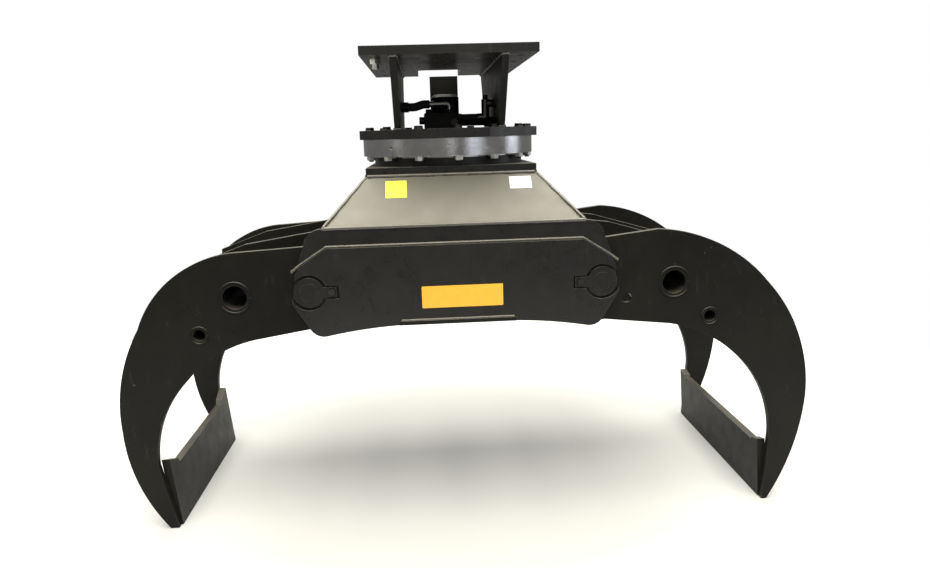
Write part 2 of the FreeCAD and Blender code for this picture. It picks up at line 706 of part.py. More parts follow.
def make_rotary_union():
    """Make the oil union: a fixed sleeve with its port block, and the spool that turns."""
    sleeve_foot = BASE_PLATE_TOP + 40
    bore = size("union_spool_d") + 0.1
    head = RING_PLATE_TOP + size("union_block_height")
    block = Part.makeBox(size("union_block_width"), size("union_block_depth"),
                         size("union_block_height"),
                         Vector(BLOCK_SHIFT - size("union_block_width") / 2,
                                -size("union_block_depth") / 2, RING_PLATE_TOP))
    block = block.makeChamfer(4, [edge for edge in block.Edges if edge.BoundBox.ZMin > head - 1])
    sleeve = rod_shape(size("union_d"), Vector(0, 0, sleeve_foot), Vector(0, 0, RING_PLATE_TOP))
    well = rod_shape(bore, Vector(0, 0, sleeve_foot), Vector(0, 0, head - 14))
    group("rotary_union_body", [block.fuse(sleeve).removeSplitter().cut(well)])
    rim = size("union_flange_d") / 2
    spool_r = size("union_spool_d") / 2
    throat_r = size("union_d") / 2
    low = BASE_PLATE_FOOT - 35
    disc = BASE_PLATE_TOP + 12
    turned("union_spool", (
        (0, low), (throat_r, low), (throat_r, BASE_PLATE_TOP), (rim, BASE_PLATE_TOP), (rim, disc),
        (throat_r, disc), (spool_r + 4, disc + 14), (spool_r, disc + 14), (spool_r, head - 18),
        (0, head - 18)))


def make_hoses():
    """Make the hoses, pipe and fittings on the rotary union."""
    wall = size("adapter_side_gap") / 2
    thick = size("adapter_side_thick")
    block_left = BLOCK_SHIFT - size("union_block_width") / 2
    block_right = BLOCK_SHIFT + size("union_block_width") / 2
    block_top = RING_PLATE_TOP + size("union_block_height")
    nut_reach = 22
    stub = 12

    def spot(x, row, level):
        """Return a point on one of the hose rows."""
        return Vector(x, row, level)

    def port_tail(side, row, level):
        """Return a bulkhead tail through a side plate, tapped from outside."""
        mouth = spot(side * (wall + thick + PORT_STAND), row, level)
        tail = rod_shape(PORT_D, spot(side * wall, row, level), mouth)
        return tail.cut(rod_shape(THREAD_D, mouth - Vector(side * THREAD_DEPTH, 0, 0), mouth))

    joint = spot(-56, FRONT_ROW, PRESSURE_LEVEL)
    entry = spot(nut_reach - wall, FRONT_ROW, PRESSURE_LEVEL - 8)
    third = (joint.x - entry.x) / 3
    hose = bent_pipe([entry, entry + Vector(third, 0, 0), joint - Vector(third, 0, 0), joint], HOSE_D)
    group("left_hose", [hose])
    pipe = bent_pipe([joint, spot(8, FRONT_ROW, PRESSURE_LEVEL), spot(8, FRONT_ROW, block_top + 10)],
                     PIPE_D)
    group("left_hose_pipe", [pipe.fuse(rod_shape(19, joint, joint + Vector(14, 0, 0)))])
    elbow_start = ELBOW_X - 26
    group("right_hoses", [
        rod_shape(HOSE_D - 3, spot(block_right + stub, FRONT_ROW, HOSE_LEVEL),
                  spot(elbow_start, FRONT_ROW, HOSE_LEVEL)),
        rod_shape(HOSE_D - 3, spot(block_right + stub, REAR_ROW, LOWER_LEVEL),
                  spot(wall - nut_reach, REAR_ROW, LOWER_LEVEL))])
    elbow_top = spot(ELBOW_X, FRONT_ROW, UPPER_LEVEL + 13)
    corner = spot(ELBOW_X, FRONT_ROW, HOSE_LEVEL)
    elbow = rod_shape(26, spot(elbow_start, FRONT_ROW, HOSE_LEVEL), corner)
    elbow = elbow.fuse([rod_shape(26, corner, elbow_top), Part.makeSphere(13, corner)])
    elbow = elbow.fuse([
        rod_shape(24, spot(ELBOW_X, FRONT_ROW, UPPER_LEVEL), spot(wall, FRONT_ROW, UPPER_LEVEL)),
        port_tail(1, FRONT_ROW, UPPER_LEVEL)])
    fittings = [
        hex_shape(24, spot(8, FRONT_ROW, block_top), 10),
        hex_along(27, spot(block_right, FRONT_ROW, HOSE_LEVEL), Vector(stub, 0, 0)),
        hex_along(27, spot(block_right, REAR_ROW, LOWER_LEVEL), Vector(stub, 0, 0)),
        elbow]
    for side, row, level in (SIDE_PORTS[0], SIDE_PORTS[2]):
        nut = hex_along(32, spot(side * (wall - nut_reach), row, level), Vector(side * nut_reach, 0, 0))
        fittings.append(nut.fuse(port_tail(side, row, level)))
    group("hose_fittings", fittings)
    knob = rod_shape(24, spot(block_left - 16, FRONT_ROW, BLOCK_MIDDLE + 2),
                     spot(block_left, FRONT_ROW, BLOCK_MIDDLE + 2))
    cap = rod_shape(18, elbow_top, elbow_top + Vector(0, 0, 14))
    front_plug = hex_along(22, spot(block_right - 14, -size("union_block_depth") / 2, LOWER_LEVEL),
                           Vector(0, -9, 0))
    top_plug = hex_shape(20, spot(block_left + 16, FRONT_ROW, block_top), 12)
    group("port_plugs", [knob, cap, front_plug, top_plug])


# ---------------------------------------------------------------- box frame

def make_base_plate():
    """Make the square plate that the slewing ring stands on."""
    width = size("base_plate_width")
    spots = circle_centres(size("inner_bolt_circle"), count("ring_bolt_count"))
    holes = [(spot, "sizes.ring_bolt_d") for spot in spots]
    holes.append(((0, 0), "sizes.base_plate_bore"))
    plate("base_plate", "XY_Plane", box_path(width, width), "sizes.base_plate_thick", holes,
          z=f"{BASE_PLATE_TOP} - sizes.base_plate_thick / 2")


def wall_profile(top_out, foot_out, top, foot, thick):
    """Return a sloped wall's cross-section between two levels, as (outward, level) points."""
    slant = math.hypot(foot_out - top_out, top - foot)
    across = thick * slant / (top - foot)
    return ((top_out, top), (foot_out, foot), (foot_out - across, foot), (top_out - across, top))


def make_slope_plates():
    """Make the box's sloped front and rear walls, wider at the foot."""
    top_half = size("base_plate_width") / 2
    foot_half = PIVOT_X - 48
    profile = wall_profile(top_half, SIDE_FACE, BASE_PLATE_FOOT, SIDE_TOP, size("slope_thick"))
    beyond = foot_half + 40
    trims = [path((sign * top_half, BASE_PLATE_FOOT + 5), (sign * top_half, BASE_PLATE_FOOT),
                  (sign * foot_half, SIDE_TOP), (sign * foot_half, SIDE_TOP - 5),
                  (sign * beyond, SIDE_TOP - 5), (sign * beyond, BASE_PLATE_FOOT + 5))
             for sign in (-1, 1)]
    for label, sign in (("front_slope_plate", -1), ("rear_slope_plate", 1)):
        outline = path(*[(sign * out, level) for out, level in profile])
        plate(label, "YZ_Plane", outline, f"{2 * foot_half}",
              cuts=[("XZ_Plane", trim) for trim in trims])


def make_end_walls():
    """Make the short sloped walls at the box's ends, above the claws' arms."""
    top_half = size("base_plate_width") / 2
    foot_half = PIVOT_X - 48
    height = size("end_wall_height")
    share = height / (BASE_PLATE_FOOT - SIDE_TOP)
    foot = BASE_PLATE_FOOT - height
    foot_out = top_half + share * (foot_half - top_half)
    profile = wall_profile(top_half, foot_out, BASE_PLATE_FOOT, foot, size("slope_thick"))
    slope = wall_profile(top_half, SIDE_FACE, BASE_PLATE_FOOT, SIDE_TOP, size("slope_thick"))
    inner_top = slope[3][0]
    inner_foot = inner_top + share * (slope[2][0] - inner_top)
    walls = []
    for sign in (-1, 1):
        face = Part.Face(Part.makePolygon(
            [Vector(sign * out, 0, level) for out, level in profile + profile[:1]]))
        slab = face.extrude(Vector(0, 2 * inner_foot, 0))
        slab.translate(Vector(0, -inner_foot, 0))
        keep = Part.Face(Part.makePolygon([
            Vector(-1000, -inner_top, BASE_PLATE_FOOT), Vector(-1000, inner_top, BASE_PLATE_FOOT),
            Vector(-1000, inner_foot, foot), Vector(-1000, -inner_foot, foot),
            Vector(-1000, -inner_top, BASE_PLATE_FOOT)])).extrude(Vector(2000, 0, 0))
        walls.append(slab.common(keep))
    group("end_walls", walls)


def lower_edge():
    """Return the side plates' shared steps from the outer end to the arch's middle."""
    lobe = (PIVOT_X - 37, PIVOT_Z - size("lobe_drop") + size("lobe_r"))
    radius = size("lobe_r")

    def on_lobe(degrees):
        """Return a point on the lobe."""
        angle = math.radians(degrees)
        return (lobe[0] + radius * math.cos(angle), lobe[1] + radius * math.sin(angle))

    foot = PIVOT_Z - size("arch_drop")
    head = foot + size("belly_thick")
    half = size("belly_length") / 2
    end = on_lobe(-100)
    middle = ((end[0] + half) / 2, (end[1] + 2 * foot) / 3)
    return [(PIVOT_X + 37, PIVOT_Z + 53), (PIVOT_X + 50, PIVOT_Z - 30), on_lobe(-30),
            (on_lobe(-65), end), (middle, (half, foot)), (half, head), (0.0, head)]


def make_side_plates():
    """Make the front and rear side plates with their doublers and the keyhole recesses."""
    side_top = PIVOT_Z + size("side_top_rise")
    side = both_halves([
        (0.0, side_top), (PIVOT_X - 38, side_top),
        ((PIVOT_X - 7, side_top - 15), (PIVOT_X + 8, side_top - 47)),
        (PIVOT_X + 30, PIVOT_Z + 80), *lower_edge()])
    top = PIVOT_Z + size("doubler_top_rise")
    doubler = both_halves([
        (0.0, top), (PIVOT_X - 57, top), (PIVOT_X + 20, PIVOT_Z + 78), *lower_edge()])
    pins = [((sign * PIVOT_X, PIVOT_Z), "sizes.pin_d") for sign in (-1, 1)]
    recess_r = size("recess_d") / 2
    slot_half = size("keeper_tab_width") / 2 + 4
    slot_end = PIVOT_X - size("keeper_tab_reach") - 5
    neck = PIVOT_X - math.sqrt(recess_r ** 2 - slot_half ** 2)
    keyholes = []
    for sign in (-1, 1):
        keyholes.append(("XZ_Plane", path(
            (sign * slot_end, PIVOT_Z - slot_half), (sign * neck, PIVOT_Z - slot_half),
            ((sign * (PIVOT_X + recess_r), PIVOT_Z), (sign * neck, PIVOT_Z + slot_half)),
            (sign * slot_end, PIVOT_Z + slot_half))))
    taps = [((sign * KEEPER_BOLT_X, PIVOT_Z), "sizes.keeper_bolt_d") for sign in (-1, 1)]
    for end, sign in (("front", -1), ("rear", 1)):
        holes = pins + taps if end == "front" else pins
        plate(f"{end}_side_plate", "XZ_Plane", side, "sizes.frame_side_thick", holes,
              y=f"{sign} * (sizes.frame_depth - 2 * sizes.doubler_thick - sizes.frame_side_thick) / 2")
        plate(f"{end}_doubler", "XZ_Plane", doubler, "sizes.doubler_thick", cuts=keyholes,
              y=f"{sign} * (sizes.frame_depth - sizes.doubler_thick) / 2")


def make_belly_plate():
    """Make the plate that closes the box below, let into both side plates' lower edges."""
    depth = size("frame_depth") + 2 * size("belly_proud")
    plate("belly_plate", "XY_Plane", box_path(size("belly_length"), depth), "sizes.belly_thick",
          z="sizes.belly_thick / 2 - sizes.pivot_drop - sizes.arch_drop")


def make_ribs():
    """Make the two upright ribs inside the box, each with a lightening hole."""
    foot = PIVOT_Z - size("arch_drop") + size("belly_thick")
    head = size("base_plate_width") / 2
    setback = head - size("rib_inset")
    half = size("belly_length") / 2
    wide = PIVOT_X - size("pivot_tube_d") / 2 - size("frame_side_thick")
    dip = BASE_PLATE_FOOT - size("rib_scallop")
    bay = size("inner_bolt_circle") / 5
    outline = path((-half, foot), (half, foot), (wide, PIVOT_Z - size("frame_side_thick")),
                   (wide, SIDE_TOP), (setback, BASE_PLATE_FOOT), (bay, BASE_PLATE_FOOT), (bay, dip),
                   (-bay, dip), (-bay, BASE_PLATE_FOOT), (-setback, BASE_PLATE_FOOT),
                   (-wide, SIDE_TOP), (-wide, PIVOT_Z - size("frame_side_thick")))
    ribs = []
    for sign in (-1, 1):
        wire = Part.Wire([edge.toShape() for edge in outline])
        wire.rotate(Vector(), Vector(1, 0, 0), 90)
        wire.translate(Vector(0, sign * setback + size("rib_thick") / 2, 0))
        rib = Part.Face(wire).extrude(Vector(0, -size("rib_thick"), 0))
        centre = Vector(0, sign * setback, (SIDE_TOP + PIVOT_Z) / 2)
        reach = Vector(0, size("rib_thick"), 0)
        ribs.append(rib.cut(rod_shape(size("rib_window_d"), centre - reach, centre + reach)))
    group("inner_ribs", ribs)


# ---------------------------------------------------------------- pivots

def make_pivot_pins():
    """Make the claw pins, their keyhole keepers, rear discs and bolts."""
    pins, keepers, discs, bolts = [], [], [], []
    face = SIDE_FACE
    thick = size("keeper_thick")
    bolt_d = size("keeper_bolt_d")
    for sign in (-1, 1):
        front = Vector(sign * PIVOT_X, -face, PIVOT_Z)
        rear = Vector(sign * PIVOT_X, face, PIVOT_Z)
        pins.append(rod_shape(size("pin_d"), front - Vector(0, thick + 1, 0), rear))
        disc = Part.makeCylinder(size("keeper_d") / 2, thick, front, Vector(0, -1, 0))
        reach = size("keeper_tab_reach")
        corner = Vector(min(0, -sign * reach), -thick, -size("keeper_tab_width") / 2)
        tab = Part.makeBox(reach, thick, size("keeper_tab_width"), front + corner)
        keeper = disc.fuse(tab).removeSplitter()
        keeper = keeper.cut(rod_shape(size("pin_d"), front, front - Vector(0, thick, 0)))
        bolt_at = Vector(sign * KEEPER_BOLT_X, -face, PIVOT_Z)
        shank = rod_shape(bolt_d, bolt_at + Vector(0, size("frame_side_thick"), 0),
                          bolt_at - Vector(0, thick, 0))
        keepers.append(keeper.cut(shank))
        head = hex_along(1.5 * bolt_d, bolt_at - Vector(0, thick, 0), Vector(0, -7, 0))
        bolts.append(head.fuse(shank))
        cap = Part.makeCylinder(size("keeper_d") / 2, thick, rear, Vector(0, 1, 0))
        centre_bolt = rod_shape(bolt_d, rear, rear + Vector(0, thick, 0))
        discs.append(cap.cut(centre_bolt))
        bolts.append(hex_along(1.5 * bolt_d, rear + Vector(0, thick, 0), Vector(0, 7, 0)).fuse(centre_bolt))
    group("pivot_pins", pins)
    group("pin_keepers", keepers)
    group("pin_end_discs", discs)
    group("pin_bolts", bolts)


# ---------------------------------------------------------------- claws

def claw_points(side):
    """Return a claw's outline points in the XZ plane."""
    sign = -1 if side == "left" else 1
    points = {}
    for name in CLAW_POINTS[side]:
        out, up = size(f"{side}_{name}_out"), size(f"{side}_{name}_up")
        points[name] = (sign * (PIVOT_X + out), PIVOT_Z + up)
    return sign, points


def around(sign, centre, radius, degrees):
    """Return a point round a centre; 0 degrees points outward from the frame."""
    angle = math.radians(degrees)
    return (centre[0] + sign * radius * math.cos(angle), centre[1] + radius * math.sin(angle))


def tine_outline(side):
    """Return the outline of a claw's long curved plate."""
    sign, p = claw_points(side)
    hub = (sign * PIVOT_X, PIVOT_Z)
    radius = size("hub_r")
    top, back, foot = (around(sign, hub, radius, a) for a in (82, 180, -82))
    return path(top, p["shoulder"], (p["brow"], p["knee"]), (p["shin"], p["calf"]),
                (p["ankle"], p["toe"]), p["sole"], p["heel"], (p["shank"], p["throat"]),
                (p["jowl"], p["elbow"]), foot, (back, top))


def inner_outline(side):
    """Return the outline of a claw's inner plate, with the arm for the cylinder."""
    sign, p = claw_points(side)
    hub = (sign * PIVOT_X, PIVOT_Z)
    lug = (sign * ARM_X, ARM_Z)
    radius = size("hub_r")
    lug_r = size("lug_r")
    lean = math.degrees(math.atan2(size("arm_up"), -size("arm_in")))
    spread = math.degrees(math.acos((radius - lug_r) / math.hypot(size("arm_in"), size("arm_up"))))
    inward = lean + spread
    lug_inner, lug_end, lug_top = (around(sign, lug, lug_r, a) for a in (inward, lean, 80))
    hub_inner = around(sign, hub, radius, inward)
    hub_back = around(sign, hub, radius, (inward + 278) / 2)
    foot = around(sign, hub, radius, -82)
    return path(lug_top, p["rib_top"], p["rib_end"], p["rib_foot"], p["jowl"], p["elbow"], foot,
                (hub_back, hub_inner), lug_inner, (lug_end, lug_top))


def make_claw(side):
    """Make one claw: two tines, two inner plates, tubes, bushes, tip plate and cylinder pin."""
    sign, p = claw_points(side)
    half = SIDE_INSIDE - size(f"{side}_tine_clearance")
    inside = ("sizes.frame_depth / 2 - sizes.doubler_thick - sizes.frame_side_thick"
              f" - sizes.{side}_tine_clearance - sizes.tine_thick")
    large = (sign * (PIVOT_X + size("large_tube_out")), PIVOT_Z - size("large_tube_down"))
    small = (sign * (PIVOT_X + size("small_tube_out")), PIVOT_Z - size("small_tube_down"))
    hub = (sign * PIVOT_X, PIVOT_Z)
    holes = [(hub, "sizes.pivot_tube_d"), (large, "sizes.large_tube_d"), (small, "sizes.small_tube_d")]
    tine_holes = list(holes)
    if side == "right":
        lock = (PIVOT_X + size("lock_hole_out"), PIVOT_Z - size("lock_hole_down"))
        tine_holes.append((lock, "sizes.lock_hole_d"))
    lug = (sign * ARM_X, ARM_Z)
    inner_holes = holes + [(lug, "sizes.cylinder_pin_d")]
    boss_half = size("cylinder_eye_width") / 2 + size("eye_side_gap")
    inner_half = size(f"{side}_inner_gap") / 2
    for end, way in (("front", -1), ("rear", 1)):
        plate(f"{side}_{end}_tine", "XZ_Plane", tine_outline(side), "sizes.tine_thick", tine_holes,
              y=f"{way} * ({inside} + sizes.tine_thick / 2)")
        body = plate(f"{side}_{end}_inner_plate", "XZ_Plane", inner_outline(side),
                     "sizes.tine_thick", inner_holes,
                     y=f"{way} * (sizes.{side}_inner_gap + sizes.tine_thick) / 2")
        boss = new_sketch(body, "XZ_Plane", [], [
            (lug, "sizes.cylinder_pin_d + 28"), (lug, "sizes.cylinder_pin_d")])
        raised = body.newObject("PartDesign::Pad", f"{side}_{end}_boss")
        raised.Profile = boss
        raised.Reversed = way < 0
        raised.Length = inner_half + size("tine_thick") / 2 - boss_half

    def across(centre, reach):
        """Return the two ends of a bar through the claw."""
        return Vector(centre[0], -reach, centre[1]), Vector(centre[0], reach, centre[1])

    relief = rod_shape(size("pivot_tube_relief"), *across(hub, TUBE_HALF - size("bush_length") - 3))
    tube = tube_shape(size("pivot_tube_d"), size("bush_d"), *across(hub, TUBE_HALF)).cut(relief)
    group(f"{side}_pivot_tube", [tube])
    bushes = []
    for way in (-1, 1):
        outer = Vector(hub[0], way * TUBE_HALF, hub[1])
        inner = Vector(hub[0], way * (TUBE_HALF - size("bush_length")), hub[1])
        bushes.append(tube_shape(size("bush_d"), size("pin_d") + size("pin_clearance"), inner, outer))
    group(f"{side}_pivot_bushes", bushes)
    group(f"{side}_cross_tubes", [
        tube_shape(size("large_tube_d"), size("large_tube_bore"), *across(large, half)),
        tube_shape(size("small_tube_d"), size("small_tube_bore"), *across(small, half))])
    thick = sign * size("tip_plate_thick")
    top, foot = p["blade_top"], p["blade_foot"]
    ear = size(f"{side}_ear_height")
    lean = ear * (foot[0] - top[0]) / (foot[1] - top[1])
    blade = path((top[0] + lean, top[1] + ear), foot, (foot[0] + thick, foot[1]),
                 (top[0] + lean + thick, top[1] + ear))
    shoulder = half - size("tine_thick") - size(f"{side}_ear_width")
    crest = top[1] + ear
    gap = path((-shoulder, top[1]), (shoulder, top[1]), (shoulder + ear / 4, top[1] + ear / 3),
               (half, crest), (half, crest + ear), (-half, crest + ear), (-half, crest),
               (-shoulder - ear / 4, top[1] + ear / 3))
    plate(f"{side}_tip_plate", "XZ_Plane", blade, f"2 * ({inside})", cuts=[("YZ_Plane", gap)])
    pin_half = inner_half + size("tine_thick") + 6
    group(f"{side}_cylinder_pin", [rod_shape(size("cylinder_pin_d"), *across(lug, pin_half))])


# ---------------------------------------------------------------- cylinder

def make_cylinder():
    """Make the closing cylinder, retracted, with its barrel on the left claw's arms."""
    eye_half = size("cylinder_eye_width") / 2
    barrel_end = -ARM_X + size("barrel_length")
    axis_z = ARM_Z
    eye_bore = size("cylinder_pin_d") + 0.1

    def eye(x):
        """Return an eye round a pin at a place along the cylinder."""
        return tube_shape(size("cylinder_eye_d"), eye_bore,
                          Vector(x, -eye_half, axis_z), Vector(x, eye_half, axis_z))

    def bar(diameter, start, end):
        """Return a round bar along the cylinder's axis."""
        return rod_shape(diameter, Vector(start, 0, axis_z), Vector(end, 0, axis_z))

    cap_face = -ARM_X + size("cylinder_eye_d") / 2 + 8
    clear = rod_shape(eye_bore, Vector(-ARM_X, -eye_half, axis_z), Vector(-ARM_X, eye_half, axis_z))
    tube_end = barrel_end - size("gland_lip")
    shell = bar(size("barrel_d"), cap_face - 8, tube_end)
    shell = shell.fuse([eye(-ARM_X), bar(62, -ARM_X, cap_face)]).removeSplitter().cut(clear)
    floor = cap_face + 20
    shell = shell.cut(bar(size("cylinder_bore"), floor, tube_end))
    ports = []
    for x in (floor + 24, tube_end - size("gland_length") - 20):
        port = rod_shape(34, Vector(x, 0, axis_z + size("cylinder_bore") / 2 + 4),
                         Vector(x, 0, axis_z + size("barrel_d") / 2 + 14))
        ports.append(port)
    shell = shell.fuse(ports)
    for x in (floor + 24, tube_end - size("gland_length") - 20):
        shell = shell.cut(rod_shape(16, Vector(x, 0, axis_z + size("cylinder_bore") / 2 - 5),
                                    Vector(x, 0, axis_z + size("barrel_d") / 2 + 14)))
    group("cylinder_barrel", [shell])
    rod_bore = size("rod_d") + 0.1
    gland = bar(size("cylinder_bore"), tube_end - size("gland_length") + size("gland_lip"), tube_end)
    gland = gland.fuse(bar(size("barrel_d"), tube_end, barrel_end))
    gland = gland.cut(bar(rod_bore, tube_end - size("gland_length"), barrel_end))
    group("cylinder_gland", [gland])
    piston_start = floor + 3
    piston_end = piston_start + size("piston_length")
    spigot = 38
    group("cylinder_piston", [bar(size("cylinder_bore") - 0.1, piston_start, piston_end)
                              .cut(bar(spigot, piston_start, piston_end))])
    rod = bar(size("rod_d"), piston_end, ARM_X - size("cylinder_eye_d") / 2 + 8)
    rod = rod.fuse([bar(spigot, piston_start, piston_end), eye(ARM_X)])
    rod = rod.cut(rod_shape(eye_bore, Vector(ARM_X, -eye_half, axis_z), Vector(ARM_X, eye_half, axis_z)))
    group("cylinder_rod", [rod])


# ---------------------------------------------------------------- the whole grapple

def build():
    """Make every sub-part."""
    make_hitch_plate()
    make_adapter_sides()
    make_ring_plate()
    make_hose_bracket()
    make_transit_bolt()
    make_outer_race()
    make_inner_race()
    make_balls()
    make_ring_bolts()
    make_spacer()
    make_slew_motor()
    make_pinion()
    make_rotary_union()
    make_hoses()
    make_base_plate()
    make_slope_plates()
    make_end_walls()
    make_side_plates()
    make_belly_plate()
    make_ribs()
    make_pivot_pins()
    make_claw("left")
    make_claw("right")
    make_cylinder()


def export_all():
    """Check every object, then write each sub-part to its own STEP file."""
    DOC.recompute()
    for thing in DOC.Objects:
        if "Invalid" in thing.State or "Error" in thing.State:
            raise RuntimeError(f"{thing.Label} failed: {thing.State}")
    pieces = [thing for thing in DOC.Objects
              if thing.TypeId in ("PartDesign::Body", "Part::Feature")]
    os.makedirs("parts", exist_ok=True)
    for piece in pieces:
        if piece.Shape.isNull() or not piece.Shape.isValid():
            raise RuntimeError(f"{piece.Label} has no valid shape")
        piece.Shape.exportStep(os.path.join("parts", f"{piece.Label}.step"))
    volume = sum(piece.Shape.Volume for piece in pieces)
    print(f"{len(pieces)} sub-parts, {volume * 7.85e-6:.0f} kg in steel")


build()
export_all()
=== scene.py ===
"""Visual model of a rotating log grapple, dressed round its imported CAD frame.

Lengths are in metres, +Z is up, and the hitch face lies at height zero.
"""
import logging
import math
import random
from dataclasses import dataclass
from enum import Enum
from typing import Iterable, Optional, Sequence, Union

import bmesh
import bpy
from mathutils import Matrix, Vector


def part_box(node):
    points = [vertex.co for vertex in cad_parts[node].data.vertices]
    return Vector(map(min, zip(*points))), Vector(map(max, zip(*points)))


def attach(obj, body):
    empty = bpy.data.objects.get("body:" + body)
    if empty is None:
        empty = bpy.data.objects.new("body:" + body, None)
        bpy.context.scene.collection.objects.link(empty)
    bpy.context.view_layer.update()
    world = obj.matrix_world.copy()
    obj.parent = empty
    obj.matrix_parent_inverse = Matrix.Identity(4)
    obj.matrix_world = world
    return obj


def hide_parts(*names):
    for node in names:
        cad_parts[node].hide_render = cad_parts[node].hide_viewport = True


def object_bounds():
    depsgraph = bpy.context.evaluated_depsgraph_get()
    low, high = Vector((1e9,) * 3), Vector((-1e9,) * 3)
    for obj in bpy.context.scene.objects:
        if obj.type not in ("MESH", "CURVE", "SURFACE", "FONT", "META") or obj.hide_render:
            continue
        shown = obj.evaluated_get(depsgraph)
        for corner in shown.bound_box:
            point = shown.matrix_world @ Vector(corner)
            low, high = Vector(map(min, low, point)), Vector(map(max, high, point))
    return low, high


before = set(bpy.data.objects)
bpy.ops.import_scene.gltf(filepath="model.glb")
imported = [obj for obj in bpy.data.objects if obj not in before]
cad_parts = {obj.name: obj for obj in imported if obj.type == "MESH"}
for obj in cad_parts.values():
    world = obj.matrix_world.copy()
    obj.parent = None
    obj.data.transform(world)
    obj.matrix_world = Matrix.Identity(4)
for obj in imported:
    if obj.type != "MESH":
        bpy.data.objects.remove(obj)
CAD_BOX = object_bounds()
random.seed(11)

LOG = logging.getLogger("log_grapple")
Tone = tuple[float, float, float]
Place = Union[Vector, Sequence[float]]
Link = bpy.types.NodeSocket
Run = tuple[float, list[Place]]


class Body(Enum):
    """The moving bodies that new pieces ride on."""

    ADAPTER = "adapter"
    FRAME = "frame"
    LEFT_CLAW = "left_claw"
    RIGHT_CLAW = "right_claw"


class Slot(Enum):
    """Names of the record's material slots; no piece in this script uses them."""

    BLACK_PAINT = "black_paint"
    BLACK_STEEL = "black_steel"
    ZINC_STEEL = "zinc_steel"


def low(node: str) -> Vector:
    """Return a CAD node's lowest corner."""
    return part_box(node)[0]


def high(node: str) -> Vector:
    """Return a CAD node's highest corner."""
    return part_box(node)[1]


@dataclass(frozen=True)
class Stations:
    """Places that several sub-assemblies share, read from the CAD nodes."""

    floor_z: float
    face_y: float
    side_y: float
    doubler_top: float
    base_low: Vector
    base_high: Vector
    ring_top: float
    hitch_foot: float
    pin_x: float
    pin_z: float

    @classmethod
    def measure(cls) -> "Stations":
        """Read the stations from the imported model.

        Returns:
            The stations of this model.
        """
        base_low, base_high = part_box("base_plate")
        hub_low, hub_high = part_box("right_pivot_tube")
        return cls(
            floor_z=CAD_BOX[0].z,
            face_y=low("front_doubler").y,
            side_y=low("front_side_plate").y,
            doubler_top=high("front_doubler").z,
            base_low=base_low,
            base_high=base_high,
            ring_top=high("adapter_ring_plate").z,
            hitch_foot=low("hitch_plate").z,
            pin_x=(hub_high.x + hub_low.x) / 2,
            pin_z=(hub_high.z + hub_low.z) / 2,
        )


# ---------------------------------------------------------------- finishes

